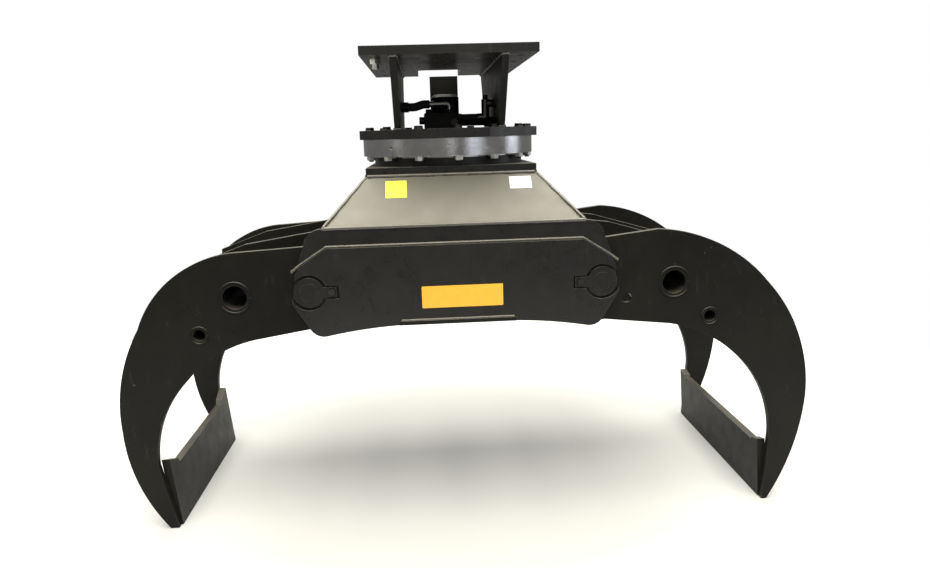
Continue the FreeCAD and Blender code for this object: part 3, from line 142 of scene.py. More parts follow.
class Shading:
    """One procedural material, with short names for making and joining its nodes."""

    def __init__(self, name: str) -> None:
        """Start a material with a shader and the object's coordinates.

        Args:
            name: The material's name.
        """
        self.material = bpy.data.materials.new(name)
        self.material.use_nodes = True
        self.tree = self.material.node_tree
        self.tree.nodes.clear()
        self.out = self.node("ShaderNodeOutputMaterial")
        self.shader = self.node("ShaderNodeBsdfPrincipled")
        self.join(self.shader.outputs["BSDF"], self.out.inputs["Surface"])
        self.place = self.node("ShaderNodeTexCoord").outputs["Object"]

    def node(self, kind: str, **settings: object) -> bpy.types.Node:
        """Add a node.

        Args:
            kind: The node's type.
            **settings: Properties to set on it.

        Returns:
            The new node.
        """
        made = self.tree.nodes.new(kind)
        for key, value in settings.items():
            setattr(made, key, value)
        return made

    def join(self, source: Link, target: Link) -> None:
        """Link an output to an input."""
        self.tree.links.new(source, target)

    def drive(self, source: Link, socket: str) -> None:
        """Link an output to one of the shader's own sockets."""
        self.join(source, self.shader.inputs[socket])

    def set(self, socket: str, value: Union[float, tuple[float, ...]]) -> None:
        """Set one of the shader's own sockets."""
        self.shader.inputs[socket].default_value = value

    def scaled(self, x: float, y: float, z: float, turn: Tone = (0, 0, 0)) -> Link:
        """Return the object's coordinates, scaled and turned.

        Args:
            x: Scale along X.
            y: Scale along Y.
            z: Scale along Z.
            turn: Rotation round the three axes, in radians.

        Returns:
            The coordinates.
        """
        mapping = self.node("ShaderNodeMapping")
        mapping.inputs["Scale"].default_value = (x, y, z)
        mapping.inputs["Rotation"].default_value = turn
        self.join(self.place, mapping.inputs["Vector"])
        return mapping.outputs["Vector"]

    def noise(self, scale: float, detail: float = 4, rough: float = 0.55,
              vector: Optional[Link] = None, distortion: float = 0.0) -> Link:
        """Return a noise value.

        Args:
            scale: Waves to the metre.
            detail: Octaves.
            rough: Share of each finer octave.
            vector: Coordinates, or None for the object's own.
            distortion: How far the pattern is bent.

        Returns:
            The noise, from 0 to 1.
        """
        made = self.node("ShaderNodeTexNoise")
        made.inputs["Scale"].default_value = scale
        made.inputs["Detail"].default_value = detail
        made.inputs["Roughness"].default_value = rough
        made.inputs["Distortion"].default_value = distortion
        self.join(vector or self.place, made.inputs["Vector"])
        return made.outputs["Fac"]

    def ramp(self, value: Link, *stops: tuple[float, Union[float, Tone]]) -> Link:
        """Return a colour ramp's colour over a value.

        Args:
            value: The value to look up.
            *stops: Pairs of a position and a grey or a colour.

        Returns:
            The colour.
        """
        made = self.node("ShaderNodeValToRGB")
        elements = made.color_ramp.elements
        while len(elements) < len(stops):
            elements.new(0.5)
        for element, (position, tone) in zip(elements, stops):
            element.position = position
            grey = isinstance(tone, (int, float))
            element.color = (tone, tone, tone, 1) if grey else (*tone, 1)
        self.join(value, made.inputs["Fac"])
        return made.outputs["Color"]

    def maths(self, operation: str, first: Union[Link, float], second: Union[Link, float],
              clamp: bool = False) -> Link:
        """Return a sum on two values.

        Args:
            operation: The sum's name.
            first: The first value.
            second: The second value.
            clamp: Whether the result is held between 0 and 1.

        Returns:
            The result.
        """
        made = self.node("ShaderNodeMath", operation=operation, use_clamp=clamp)
        for slot, value in enumerate((first, second)):
            if isinstance(value, (int, float)):
                made.inputs[slot].default_value = value
            else:
                self.join(value, made.inputs[slot])
        return made.outputs["Value"]

    def times(self, first: Union[Link, float], second: Union[Link, float]) -> Link:
        """Return the product of two values."""
        return self.maths("MULTIPLY", first, second)

    def mix(self, factor: Link, first: Union[Link, Tone], second: Union[Link, Tone]) -> Link:
        """Return a mix of two colours.

        Args:
            factor: The second colour's share.
            first: The first colour.
            second: The second colour.

        Returns:
            The mixed colour.
        """
        made = self.node("ShaderNodeMix", data_type="RGBA")
        self.join(factor, made.inputs["Factor"])
        for slot, tone in (("A", first), ("B", second)):
            socket = next(s for s in made.inputs if s.name == slot and s.type == "RGBA")
            if isinstance(tone, tuple):
                socket.default_value = (*tone, 1)
            else:
                self.join(tone, socket)
        return next(s for s in made.outputs if s.type == "RGBA")

    def range(self, value: Link, start: float, end: float, to_start: float,
              to_end: float) -> Link:
        """Return a value carried from one range to another.

        Args:
            value: The value.
            start: Where the first range starts.
            end: Where the first range ends.
            to_start: Where the second range starts.
            to_end: Where the second range ends.

        Returns:
            The carried value.
        """
        made = self.node("ShaderNodeMapRange")
        for name, number in (("From Min", start), ("From Max", end), ("To Min", to_start),
                             ("To Max", to_end)):
            made.inputs[name].default_value = number
        self.join(value, made.inputs["Value"])
        return made.outputs["Result"]

    def rounded(self, radius: float) -> Link:
        """Return the surface's normal with its edges rounded to a radius."""
        made = self.node("ShaderNodeBevel", samples=6)
        made.inputs["Radius"].default_value = radius
        return made.outputs["Normal"]

    def bump(self, height: Link, strength: float, distance: float,
             normal: Optional[Link] = None) -> Link:
        """Return a normal that follows a height.

        Args:
            height: The height.
            strength: How much of it shows.
            distance: The height of a full step, in metres.
            normal: The normal to start from, or None for the surface's own.

        Returns:
            The normal.
        """
        made = self.node("ShaderNodeBump")
        made.inputs["Strength"].default_value = strength
        made.inputs["Distance"].default_value = distance
        self.join(height, made.inputs["Height"])
        if normal is not None:
            self.join(normal, made.inputs["Normal"])
        return made.outputs["Normal"]

    def edges(self, radius: float, sharp: float, flat: float) -> Link:
        """Return how much a point lies on an edge.

        Args:
            radius: How far from the edge to look.
            sharp: The normals' agreement that counts as an edge.
            flat: The normals' agreement that counts as flat.

        Returns:
            A value from 0 on the flat to 1 on the edge.
        """
        normal = self.node("ShaderNodeNewGeometry").outputs["Normal"]
        dot = self.node("ShaderNodeVectorMath", operation="DOT_PRODUCT")
        self.join(self.rounded(radius), dot.inputs[0])
        self.join(normal, dot.inputs[1])
        return self.range(dot.outputs["Value"], flat, sharp, 0.0, 1.0)

    def facing_up(self) -> Link:
        """Return how much the surface faces the sky."""
        normal = self.node("ShaderNodeNewGeometry").outputs["Normal"]
        split = self.node("ShaderNodeSeparateXYZ")
        self.join(normal, split.inputs["Vector"])
        return self.range(split.outputs["Z"], 0.35, 0.95, 0.0, 1.0)


@dataclass(frozen=True)
class Paint:
    """Sprayed paint: orange peel, soft patches, rubbed edges, spatter and dust on top."""

    name: str
    tone: Tone
    worn: Tone = (0.15, 0.14, 0.13)
    dust: Tone = (0.13, 0.115, 0.09)
    spatter: Tone = (0.30, 0.29, 0.27)
    gloss: float = 0.26
    dust_share: float = 0.5
    wear_share: float = 1.0
    shine: float = 0.30
    upward_shine: float = 0.8
    edge_radius: float = 0.0018
    rub_radius: float = 0.0022
    peel_height: float = 0.0012

    def colour(self, look: Shading, film: Link) -> Link:
        """Return the paint's colour.

        Args:
            look: The material that is being made.
            film: How thickly dust lies.

        Returns:
            The colour.
        """
        lighter = tuple(1.7 * part for part in self.tone)
        base = look.ramp(look.noise(2.6, 5, 0.6), (0.3, self.tone), (0.75, lighter))
        stretched = look.scaled(7, 7, 1.2, (0.2, 0.5, 0.1))
        streak = look.noise(9, 6, 0.65, stretched, 0.4)
        rubs = look.ramp(streak, (0.62, 0.0), (0.78, 0.30))
        base = look.mix(look.times(rubs, 0.55 * self.wear_share), base, self.worn)
        speck = look.ramp(look.noise(150, 2, 0.5), (0.70, 0.0), (0.76, 1.0))
        cluster = look.ramp(look.noise(5.5, 3, 0.5), (0.56, 0.0), (0.70, 1.0))
        specks = look.times(look.times(speck, cluster), 0.5 * self.wear_share)
        base = look.mix(specks, base, self.spatter)
        base = look.mix(film, base, self.dust)
        chips = look.range(look.noise(38, 5, 0.7), 0.42, 0.62, 0.0, 1.0)
        rim = look.maths("MULTIPLY", look.edges(self.rub_radius, 0.72, 0.97), chips, True)
        return look.mix(look.times(rim, 0.75 * self.wear_share), base, self.worn)

    def make(self) -> bpy.types.Material:
        """Return the paint as a material."""
        look = Shading(self.name)
        drift = look.range(look.noise(7, 7, 0.65), 0.3, 0.8, 0.25, 1.0)
        film = look.times(look.times(look.facing_up(), drift), self.dust_share)
        look.drive(self.colour(look, film), "Base Color")
        rough = look.range(look.noise(19, 6, 0.6), 0.25, 0.8, self.gloss - 0.05,
                           self.gloss + 0.16)
        look.drive(look.maths("ADD", rough, look.times(film, 0.4), True), "Roughness")
        peel = look.times(look.noise(260, 2, 0.5), 0.10)
        wave = look.times(look.noise(5, 2, 0.5), 1.4)
        height = look.maths("ADD", peel, wave)
        soft = look.rounded(self.edge_radius)
        look.drive(look.bump(height, 0.35, self.peel_height, soft), "Normal")
        best = max(self.shine, self.upward_shine)
        look.drive(look.range(look.facing_up(), 0.0, 1.0, self.shine, best),
                   "Specular IOR Level")
        return look.material


@dataclass(frozen=True)
class Metal:
    """Bare metal with smudges and, where it is turned, fine lines."""

    name: str
    tone: Tone
    rough: float
    grain: Optional[Tone] = None
    stain: Tone = (0.35, 0.33, 0.30)
    edge_radius: float = 0.0012
    line_height: float = 0.0004

    def make(self) -> bpy.types.Material:
        """Return the metal as a material."""
        look = Shading(self.name)
        smudge = look.ramp(look.noise(14, 6, 0.6), (0.35, 0.0), (0.8, 0.45))
        look.drive(look.mix(smudge, self.tone, self.stain), "Base Color")
        look.set("Metallic", 1.0)
        level = look.range(look.noise(30, 5, 0.6), 0.3, 0.75, self.rough - 0.04,
                           self.rough + 0.12)
        look.drive(level, "Roughness")
        lines = look.noise(1.0, 3, 0.6, look.scaled(*(self.grain or (90, 90, 90))))
        strength = 0.25 if self.grain else 0.12
        soft = look.rounded(self.edge_radius)
        look.drive(look.bump(lines, strength, self.line_height, soft), "Normal")
        return look.material


@dataclass(frozen=True)
class HoseCover:
    """Rubber hose cover, with a braided sleeve if its rib scale is above zero."""

    name: str
    ribs: float = 0.0
    dark: Tone = (0.008, 0.008, 0.009)
    pale: Tone = (0.03, 0.03, 0.031)
    height: float = 0.0012

    def strands(self, look: Shading, across: float) -> Link:
        """Return one set of the sleeve's slanting strands.

        Args:
            look: The material that is being made.
            across: 1 for one slant and -1 for the other.

        Returns:
            The strands' height.
        """
        made = look.node("ShaderNodeTexWave", wave_type="BANDS", bands_direction="DIAGONAL")
        made.inputs["Scale"].default_value = self.ribs
        look.join(look.scaled(1, across, across), made.inputs["Vector"])
        return made.outputs["Fac"]

    def make(self) -> bpy.types.Material:
        """Return the hose cover as a material."""
        look = Shading(self.name)
        tone = look.ramp(look.noise(60, 4, 0.6), (0.3, self.dark), (0.8, self.pale))
        look.drive(tone, "Base Color")
        look.set("Roughness", 0.62)
        look.set("Specular IOR Level", 0.4)
        if self.ribs:
            weave = look.maths("MAXIMUM", self.strands(look, 1), self.strands(look, -1))
            look.drive(look.bump(weave, 0.7, self.height), "Normal")
        else:
            look.drive(look.bump(look.noise(400, 3, 0.6), 0.25, self.height), "Normal")
        return look.material


@dataclass(frozen=True)
class PatchFilm:
    """A plain stuck-on film with slight fading and dirt."""

    name: str
    tone: Tone
    fade: Tone

    def make(self) -> bpy.types.Material:
        """Return the film as a material."""
        look = Shading(self.name)
        dirt = look.ramp(look.noise(40, 6, 0.65), (0.45, 0.0), (0.8, 0.35))
        look.drive(look.mix(dirt, self.tone, self.fade), "Base Color")
        look.set("Roughness", 0.42)
        look.drive(look.bump(look.noise(90, 3), 0.12, 0.0004), "Normal")
        return look.material


class Finishes:
    """Every finish of the grapple, and the CAD nodes that each one covers."""

    def __init__(self) -> None:
        """Make the materials."""
        self.paint = Paint("black_paint", (0.0090, 0.0088, 0.0086)).make()
        self.claw_paint = Paint("claw_paint", (0.0085, 0.0079, 0.0068), gloss=0.30,
                                wear_share=0.8, shine=0.09).make()
        # The sloped deck plates wear the same black paint as the frame. Their lighter olive
        # tone here is a painted reflection of the light from above, not a different paint.
        self.deck_paint_with_painted_reflection = Paint("deck_paint_with_painted_reflection", (0.045, 0.041, 0.028), dust=(0.13, 0.12, 0.09),
                                gloss=0.34, dust_share=0.4, wear_share=0.8,
                                shine=0.66).make()
        self.inside_paint = Paint("inside_paint", (0.010, 0.0096, 0.0090), gloss=0.36,
                                  dust_share=0.8, shine=0.08).make()
        self.drive_paint = Paint("drive_paint", (0.012, 0.0112, 0.0105), gloss=0.50,
                                 dust_share=0.12, shine=0.12).make()
        self.bead_paint = Paint("bead_paint", (0.050, 0.047, 0.040), worn=(0.34, 0.33, 0.30),
                                gloss=0.24, dust_share=0.8, wear_share=1.4,
                                shine=0.8).make()
        self.ring_steel = Metal("ring_steel", (0.56, 0.56, 0.57), 0.17,
                                grain=(0.6, 0.6, 1400)).make()
        self.bright_steel = Metal("bright_steel", (0.55, 0.55, 0.55), 0.26).make()
        self.pin_steel = Metal("pin_steel", (0.13, 0.125, 0.12), 0.36,
                               stain=(0.05, 0.045, 0.04)).make()
        self.zinc = Metal("zinc_plate", (0.74, 0.74, 0.72), 0.30,
                          stain=(0.52, 0.51, 0.46)).make()
        self.black_steel = Metal("black_oxide", (0.040, 0.038, 0.036), 0.42,
                                 stain=(0.085, 0.08, 0.07)).make()
        self.chrome = Metal("hard_chrome", (0.72, 0.72, 0.74), 0.07,
                            stain=(0.6, 0.6, 0.62)).make()
        self.fitting_steel = Metal("fitting_steel", (0.17, 0.16, 0.15), 0.34,
                                   stain=(0.06, 0.055, 0.05)).make()
        self.bronze = Metal("bush_bronze", (0.50, 0.33, 0.15), 0.32,
                            stain=(0.3, 0.2, 0.1)).make()
        self.hose = HoseCover("hose_cover").make()
        self.sleeve = HoseCover("braided_sleeve", ribs=85.0).make()
        self.amber = PatchFilm("amber_patch", (0.88, 0.44, 0.035), (0.55, 0.30, 0.06)).make()
        self.yellow = PatchFilm("yellow_patch", (0.88, 0.80, 0.03), (0.60, 0.55, 0.10)).make()
        self.white = PatchFilm("white_patch", (0.72, 0.72, 0.70), (0.45, 0.44, 0.40)).make()

    def coverage(self) -> tuple[tuple[bpy.types.Material, tuple[str, ...]], ...]:
        """Return each finish with the CAD nodes that it covers."""
        claw_parts = ("front_tine", "rear_tine", "front_inner_plate", "rear_inner_plate",
                      "tip_plate", "pivot_tube", "cross_tubes")
        claws = tuple(f"{side}_{part}" for side in ("left", "right") for part in claw_parts)
        return (
            # sloped plates: black paint with a painted reflection in its lighter tone
            (self.deck_paint_with_painted_reflection, ("front_slope_plate", "rear_slope_plate")),
            (self.claw_paint, claws),
            (self.drive_paint, ("slew_motor", "rotary_union_body")),
            (self.inside_paint, ("hose_bracket", "adapter_right_plate", "adapter_left_plate",
                                 "inner_ribs", "belly_plate")),
            (self.ring_steel, ("slewing_outer_race", "slewing_inner_race")),
            (self.bright_steel, ("slewing_balls", "drive_pinion", "cylinder_piston",
                                 "left_hose_pipe")),
            (self.pin_steel, ("left_cylinder_pin", "right_cylinder_pin")),
            (self.zinc, ("ring_nuts", "transit_bolt")),
            (self.fitting_steel, ("hose_fittings",)),
            (self.black_steel, ("union_spool", "ring_bolts", "inner_race_bolts",
                                "motor_bolts", "pin_bolts", "port_plugs")),
            (self.chrome, ("cylinder_rod",)),
            (self.bronze, ("left_pivot_bushes", "right_pivot_bushes")),
            (self.hose, ("right_hoses",)),
            (self.sleeve, ("left_hose",)),
        )

    def dress(self) -> None:
        """Give every CAD node its finish, black paint where nothing else is named."""
        finish_of = {name: material for material, names in self.coverage() for name in names}
        for name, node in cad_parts.items():
            node.data.materials.clear()
            node.data.materials.append(finish_of.get(name, self.paint))
            LOG.info("dressed %s", name)


# ---------------------------------------------------------------- forms

def finish_piece(name: str, bm: bmesh.types.BMesh, body: Body,
                 material: bpy.types.Material, smooth: bool = True) -> bpy.types.Object:
    """Turn a bmesh into a piece that rides on a body.

    Args:
        name: The piece's name.
        bm: Its mesh, freed here.
        body: The body that it rides on.
        material: Its finish.
        smooth: Whether its faces shade smoothly.

    Returns:
        The piece.
    """
    bmesh.ops.recalc_face_normals(bm, faces=bm.faces)
    mesh = bpy.data.meshes.new(name)
    bm.to_mesh(mesh)
    bm.free()
    for face in mesh.polygons:
        face.use_smooth = smooth
    piece = bpy.data.objects.new(name, mesh)
    bpy.context.scene.collection.objects.link(piece)
    mesh.materials.append(material)
    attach(piece, body.value)
    LOG.info("made %s", name)
    return piece


def join_rings(bm: bmesh.types.BMesh, rings: list[list[bmesh.types.BMVert]]) -> None:
    """Skin the space between rings of points that follow each other.

    Args:
        bm: The mesh to add to.
        rings: The rings, all of one size.
    """
    count = len(rings[0])
    for first, second in zip(rings, rings[1:]):
        for k in range(count):
            after = (k + 1) % count
            bm.faces.new((first[k], first[after], second[after], second[k]))


def spread(points: Sequence[Place], step: float) -> list[Vector]:
    """Return points at an even step along straight runs.

    Args:
        points: The runs' ends.
        step: The distance wanted between points.

    Returns:
        The points.
    """
    line = [Vector(points[0])]
    for start, end in zip(points, points[1:]):
        start, end = Vector(start), Vector(end)
        parts = max(1, round((end - start).length / step))
        line.extend(start.lerp(end, (i + 1) / parts) for i in range(parts))
    return line


def add_bead(bm: bmesh.types.BMesh, points: Sequence[Place], radius: float) -> None:
    """Add a weld bead, whose scales overlap along a line of points.

    Args:
        bm: The mesh to add to.
        points: The line.
        radius: The bead's radius.
    """
    pitch, steps, sides = 0.0062, 3, 8
    line = spread(points, pitch / steps)
    rings = []
    for i, point in enumerate(line):
        ahead = line[min(i + 1, len(line) - 1)] - line[max(i - 1, 0)]
        ahead.normalize()
        across = ahead.orthogonal().normalized()
        if abs(ahead.z) < 0.9:
            across = ahead.cross(Vector((0, 0, 1))).normalized()
        up = across.cross(ahead).normalized()
        phase = (i % steps) / steps
        swell = radius * (0.86 + 0.22 * phase + 0.10 * (random.random() - 0.5))
        middle = point + across * (radius * 0.10 * math.sin(i * 0.21 + len(line)))
        turns = (2 * math.pi * k / sides for k in range(sides))
        rings.append([bm.verts.new(middle + across * (swell * math.cos(a))
                                   + up * (swell * math.sin(a))) for a in turns])
    join_rings(bm, rings)
    bm.faces.new(rings[0][::-1])
    bm.faces.new(rings[-1])


def make_beads(name: str, body: Body, runs: Iterable[Run],
               material: bpy.types.Material) -> bpy.types.Object:
    """Make one piece of several weld beads.

    Args:
        name: The piece's name.
        body: The body that it rides on.
        runs: Pairs of a radius and a line.
        material: Its finish.

    Returns:
        The piece.
    """
    bm = bmesh.new()
    for radius, points in runs:
        add_bead(bm, points, radius)
    return finish_piece(name, bm, body, material)


def upright_circle(centre: Vector, radius: float, parts: int) -> list[Place]:
    """Return a closed circle of points that faces along Y.

    Args:
        centre: Its middle.
        radius: Its radius.
        parts: How many sides it has.

    Returns:
        The points, the first of them again at the end.
    """
    turns = (2 * math.pi * i / parts for i in range(parts + 1))
    return [centre + Vector((radius * math.cos(a), 0, radius * math.sin(a))) for a in turns]


def add_hex(bm: bmesh.types.BMesh, foot: Vector, up: int, flats: float, height: float,
            turn: float) -> None:
    """Add a chamfered hexagon with a dished top.

    Args:
        bm: The mesh to add to.
        foot: The middle of its seat.
        up: 1 if it stands upward from the seat, and -1 if it hangs.
        flats: Its width across flats.
        height: Its height.
        turn: Its turn about the upright axis, in radians.
    """
    parts, chamfer = 36, math.tan(math.radians(30))
    axis, first = Vector((0, 0, up)), Vector((1, 0, 0))
    second = axis.cross(first)
    circle = 0.475 * flats

    def level(reaches: list[float], rises: list[float]) -> list[bmesh.types.BMVert]:
        """Return one ring of points from its radii and heights."""
        ring = []
        for i in range(parts):
            way = 2 * math.pi * i / parts + turn
            ring.append(bm.verts.new(Vector(foot) + axis * rises[i]
                                     + first * (reaches[i] * math.cos(way))
                                     + second * (reaches[i] * math.sin(way))))
        return ring

    sector = math.pi / 3
    corners = [flats / 2 / math.cos((2 * math.pi * i / parts + sector / 2) % sector
                                    - sector / 2) for i in range(parts)]
    levels = [
        level(corners, [0.0] * parts),
        level(corners, [height - (reach - circle) * chamfer for reach in corners]),
        level([circle] * parts, [height] * parts),
        level([circle * 0.62] * parts, [height] * parts),
        level([circle * 0.52] * parts, [height - 0.0008] * parts),
    ]
    join_rings(bm, levels)
    bm.faces.new(levels[-1])
    bm.faces.new(levels[0][::-1])


def add_turned(bm: bmesh.types.BMesh, foot: Vector,
               profile: Sequence[tuple[float, float]]) -> None:
    """Add an upright turned form.

    Args:
        bm: The mesh to add to.
        foot: The middle of its seat.
        profile: Pairs of a radius and a height.
    """
    parts = 32
    axis = Vector((0, 0, 1))
    first = axis.orthogonal().normalized()
    second = axis.cross(first)
    rings = []
    for radius, rise in profile:
        turns = (2 * math.pi * i / parts for i in range(parts))
        rings.append([bm.verts.new(foot + axis * rise + first * (radius * math.cos(a))
                                   + second * (radius * math.sin(a))) for a in turns])
    join_rings(bm, rings)
    bm.faces.new(rings[0][::-1])
    bm.faces.new(rings[-1])


def solid_boxes(node: str) -> list[tuple[Vector, Vector]]:
    """Return the lowest and highest corner of each separate solid in a CAD node.

    Args:
        node: The node's name.

    Returns:
        A pair of corners for each solid.
    """
    bm = bmesh.new()
    bm.from_mesh(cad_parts[node].data)
    bmesh.ops.remove_doubles(bm, verts=bm.verts, dist=1e-6)
    seen: set[int] = set()
    boxes = []
    for seed in bm.verts:
        if seed.index in seen:
            continue
        stack, members = [seed], []
        seen.add(seed.index)
        while stack:
            here = stack.pop()
            members.append(here.co.copy())
            for edge in here.link_edges:
                other = edge.other_vert(here)
                if other.index not in seen:
                    seen.add(other.index)
                    stack.append(other)
        boxes.append((Vector([min(co[k] for co in members) for k in range(3)]),
                      Vector([max(co[k] for co in members) for k in range(3)])))
    bm.free()
    return boxes


# ---------------------------------------------------------------- sub-assemblies

@dataclass(frozen=True)
class RingFasteners:
    """The slewing ring's bolts with washers, and its zinc nuts with the bolts' ends."""

    finishes: Finishes
    stations: Stations
    flats: float = 0.0240
    washer_thick: float = 0.002
    washer: tuple[tuple[float, float], ...] = (
        (0.0148, 0.0), (0.0150, 0.0012), (0.0144, 0.0020), (0.004, 0.0021))
    bolt_end: tuple[tuple[float, float], ...] = (
        (0.0064, 0.0), (0.0078, 0.0014), (0.0078, 0.012))

    def make(self) -> None:
        """Make the heads, the ends and the nuts."""
        heads, ends, nuts = bmesh.new(), bmesh.new(), bmesh.new()
        for lowest, highest in solid_boxes("ring_bolts"):
            middle = (lowest + highest) / 2
            seat = Vector((middle.x, middle.y, self.stations.ring_top))
            add_turned(heads, seat, self.washer)
            add_hex(heads, seat + Vector((0, 0, self.washer_thick)), 1, self.flats,
                    highest.z - seat.z - self.washer_thick, random.uniform(0, 1.0))
            add_turned(ends, Vector((middle.x, middle.y, lowest.z)), self.bolt_end)
        nut_foot, nut_top = low("ring_nuts").z, high("ring_nuts").z
        for lowest, highest in solid_boxes("ring_nuts"):
            middle = (lowest + highest) / 2
            add_hex(nuts, Vector((middle.x, middle.y, nut_top)), -1, self.flats,
                    nut_top - nut_foot, random.uniform(0, 1.0))
        dark = self.finishes.black_steel
        head_piece = finish_piece("ring_bolt_heads", heads, Body.ADAPTER,
                                  dark, False)
        finish_piece("ring_bolt_ends", ends, Body.ADAPTER, dark, False)
        nut_piece = finish_piece("ring_hex_nuts", nuts, Body.ADAPTER,
                                 self.finishes.zinc, False)
        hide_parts("ring_bolts")
        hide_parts("ring_nuts")


@dataclass(frozen=True)
class PlainPatches:
    """The bare amber plate on the doubler and the two plain films on the sloped plate."""

    finishes: Finishes
    stations: Stations
    lift: float = 0.0003
    amber_span: tuple[float, float] = (-0.104, 0.134)
    amber_top: float = 0.006
    amber_foot: float = -0.059
    amber_thick: float = 0.0006
    amber_corner: float = 0.0022
    film_thick: float = 0.0004
    film_corner: float = 0.0015
    yellow_place: tuple[float, float, float, float] = (-0.200, -0.137, 0.020, 0.084)
    white_place: tuple[float, float, float, float] = (0.172, 0.238, 0.017, 0.063)

    @staticmethod
    def slab(name: str, corners: Sequence[Place], normal: Vector, thick: float,
             material: bpy.types.Material, soft: float) -> bpy.types.Object:
        """Make a thin patch with rounded corners.

        Args:
            name: The piece's name.
            corners: Its four corners.
            normal: The way it stands off the plate.
            thick: Its thickness.
            material: Its finish.
            soft: Its corners' radius.

        Returns:
            The piece.
        """
        bm = bmesh.new()
        normal = normal.normalized()
        outline = []
        for i, corner in enumerate(corners):
            corner = Vector(corner)
            before = (Vector(corners[i - 1]) - corner).normalized()
            after = (Vector(corners[(i + 1) % len(corners)]) - corner).normalized()
            for k in range(5):
                angle = k / 4 * math.pi / 2
                outline.append(corner + before * (soft * (1 - math.sin(angle)))
                               + after * (soft * (1 - math.cos(angle))))
        top = [bm.verts.new(point + normal * thick) for point in outline]
        foot = [bm.verts.new(point) for point in outline]
        bm.faces.new(top)
        bm.faces.new(foot[::-1])
        join_rings(bm, [foot, top])
        return finish_piece(name, bm, Body.FRAME, material, False)

    def make(self) -> None:
        """Make the three patches."""
        at = self.stations
        y = at.face_y - self.lift
        left, right = self.amber_span
        top, foot = at.pin_z + self.amber_top, at.pin_z + self.amber_foot
        self.slab("amber_plate",
                  [(left, y, foot), (right, y, foot), (right, y, top), (left, y, top)],
                  Vector((0, -1, 0)), self.amber_thick, self.finishes.amber,
                  self.amber_corner)
        slope_low, slope_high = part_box("front_slope_plate")
        head = Vector((0, at.base_low.y, slope_high.z))
        heel = Vector((0, at.side_y, slope_low.z))
        down = (heel - head).normalized()
        out = Vector((0, down.z, -down.y))
        for name, place, film in (("yellow_patch", self.yellow_place, self.finishes.yellow),
                                  ("white_patch", self.white_place, self.finishes.white)):
            left, right, upper, lower = place
            corners = [head + Vector((x, 0, 0)) + down * along + out * self.lift
                       for x, along in ((left, lower), (right, lower), (right, upper),
                                        (left, upper))]
            self.slab(name, corners, out, self.film_thick, film, self.film_corner)


@dataclass(frozen=True)
class FrameWelds:
    """The weld beads of the box frame."""

    finishes: Finishes
    stations: Stations
    slope_bead: float = 0.0062
    deck_bead: float = 0.0055
    corner_bead: float = 0.0050
    doubler_bead: float = 0.0050
    belly_bead: float = 0.0042
    shoulder: tuple[tuple[float, float], ...] = ((0.478, 0.060), (0.450, 0.081))
    deck_half_depth: float = 0.235

    def make(self) -> None:
        """Make the beads."""
        at = self.stations
        slope_low, slope_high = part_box("front_slope_plate")
        wide, foot = slope_high.x, slope_low.z
        top_half, deck = at.base_high.x, at.base_low.z
        inner, doubler_top = wide - 0.009, at.doubler_top + 0.003
        (far_x, far_z), (near_x, near_z) = self.shoulder
        far_z, near_z = at.pin_z + far_z, at.pin_z + near_z
        belly_low, belly_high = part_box("belly_plate")
        belly_z = belly_high.z + 0.002
        runs: list[Run] = []
        for side in (-1, 1):
            y = side * abs(at.side_y)
            line_y = y - side * 0.001
            runs.append((self.slope_bead, [(-wide, line_y, foot + 0.001),
                                           (wide, line_y, foot + 0.001)]))
            edge = side * abs(at.base_low.y)
            runs.append((self.deck_bead, [(-top_half + 0.004, edge + side * 0.001, deck),
                                          (top_half - 0.004, edge + side * 0.001, deck)]))
            for end in (-1, 1):
                runs.append((self.corner_bead, [(end * top_half, edge, deck - 0.003),
                                                (end * (wide - 0.004), y, foot + 0.004)]))
            runs.append((self.doubler_bead, [
                (-far_x, y, far_z), (-near_x, y, near_z), (-inner, y, doubler_top),
                (inner, y, doubler_top), (near_x, y, near_z), (far_x, y, far_z)]))
            belly_y = side * abs(at.face_y) + side * 0.001
            runs.append((self.belly_bead, [(belly_low.x + 0.006, belly_y, belly_z),
                                           (belly_high.x - 0.006, belly_y, belly_z)]))
        for end in (-1, 1):
            x = end * (top_half + 0.001)
            runs.append((self.deck_bead, [(x, -self.deck_half_depth, deck),
                                          (x, self.deck_half_depth, deck)]))
        make_beads("frame_welds", Body.FRAME, runs, self.finishes.bead_paint)


@dataclass(frozen=True)
class AdapterWelds:
    """The weld beads of the hitch adapter."""

    finishes: Finishes
    stations: Stations
    long_bead: float = 0.0048
    end_bead: float = 0.0046
    bracket_bead: float = 0.0042
    foot_half: float = 0.230

    def make(self) -> None:
        """Make the beads."""
        floor = self.stations.ring_top + 0.002
        roof = self.stations.hitch_foot - 0.002
        half = self.foot_half
        runs: list[Run] = []
        for node in ("adapter_left_plate", "adapter_right_plate"):
            lo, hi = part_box(node)
            for x in (lo.x, hi.x):
                runs.append((self.long_bead, [(x, -half + 0.003, floor),
                                              (x, half - 0.003, floor)]))
                runs.append((self.long_bead, [(x, lo.y + 0.006, roof),
                                              (x, hi.y - 0.006, roof)]))
            for y, edge in ((-half, lo.y), (half, hi.y)):
                runs.append((self.end_bead, [(lo.x, y, floor), (hi.x, y, floor)]))
                runs.append((self.end_bead, [(lo.x, edge, roof), (hi.x, edge, roof)]))
        lo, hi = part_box("hose_bracket")
        seat = self.stations.ring_top + 0.001
        runs.append((self.bracket_bead, [(lo.x, lo.y, seat), (hi.x, lo.y, seat)]))
        make_beads("adapter_welds", Body.ADAPTER, runs, self.finishes.bead_paint)


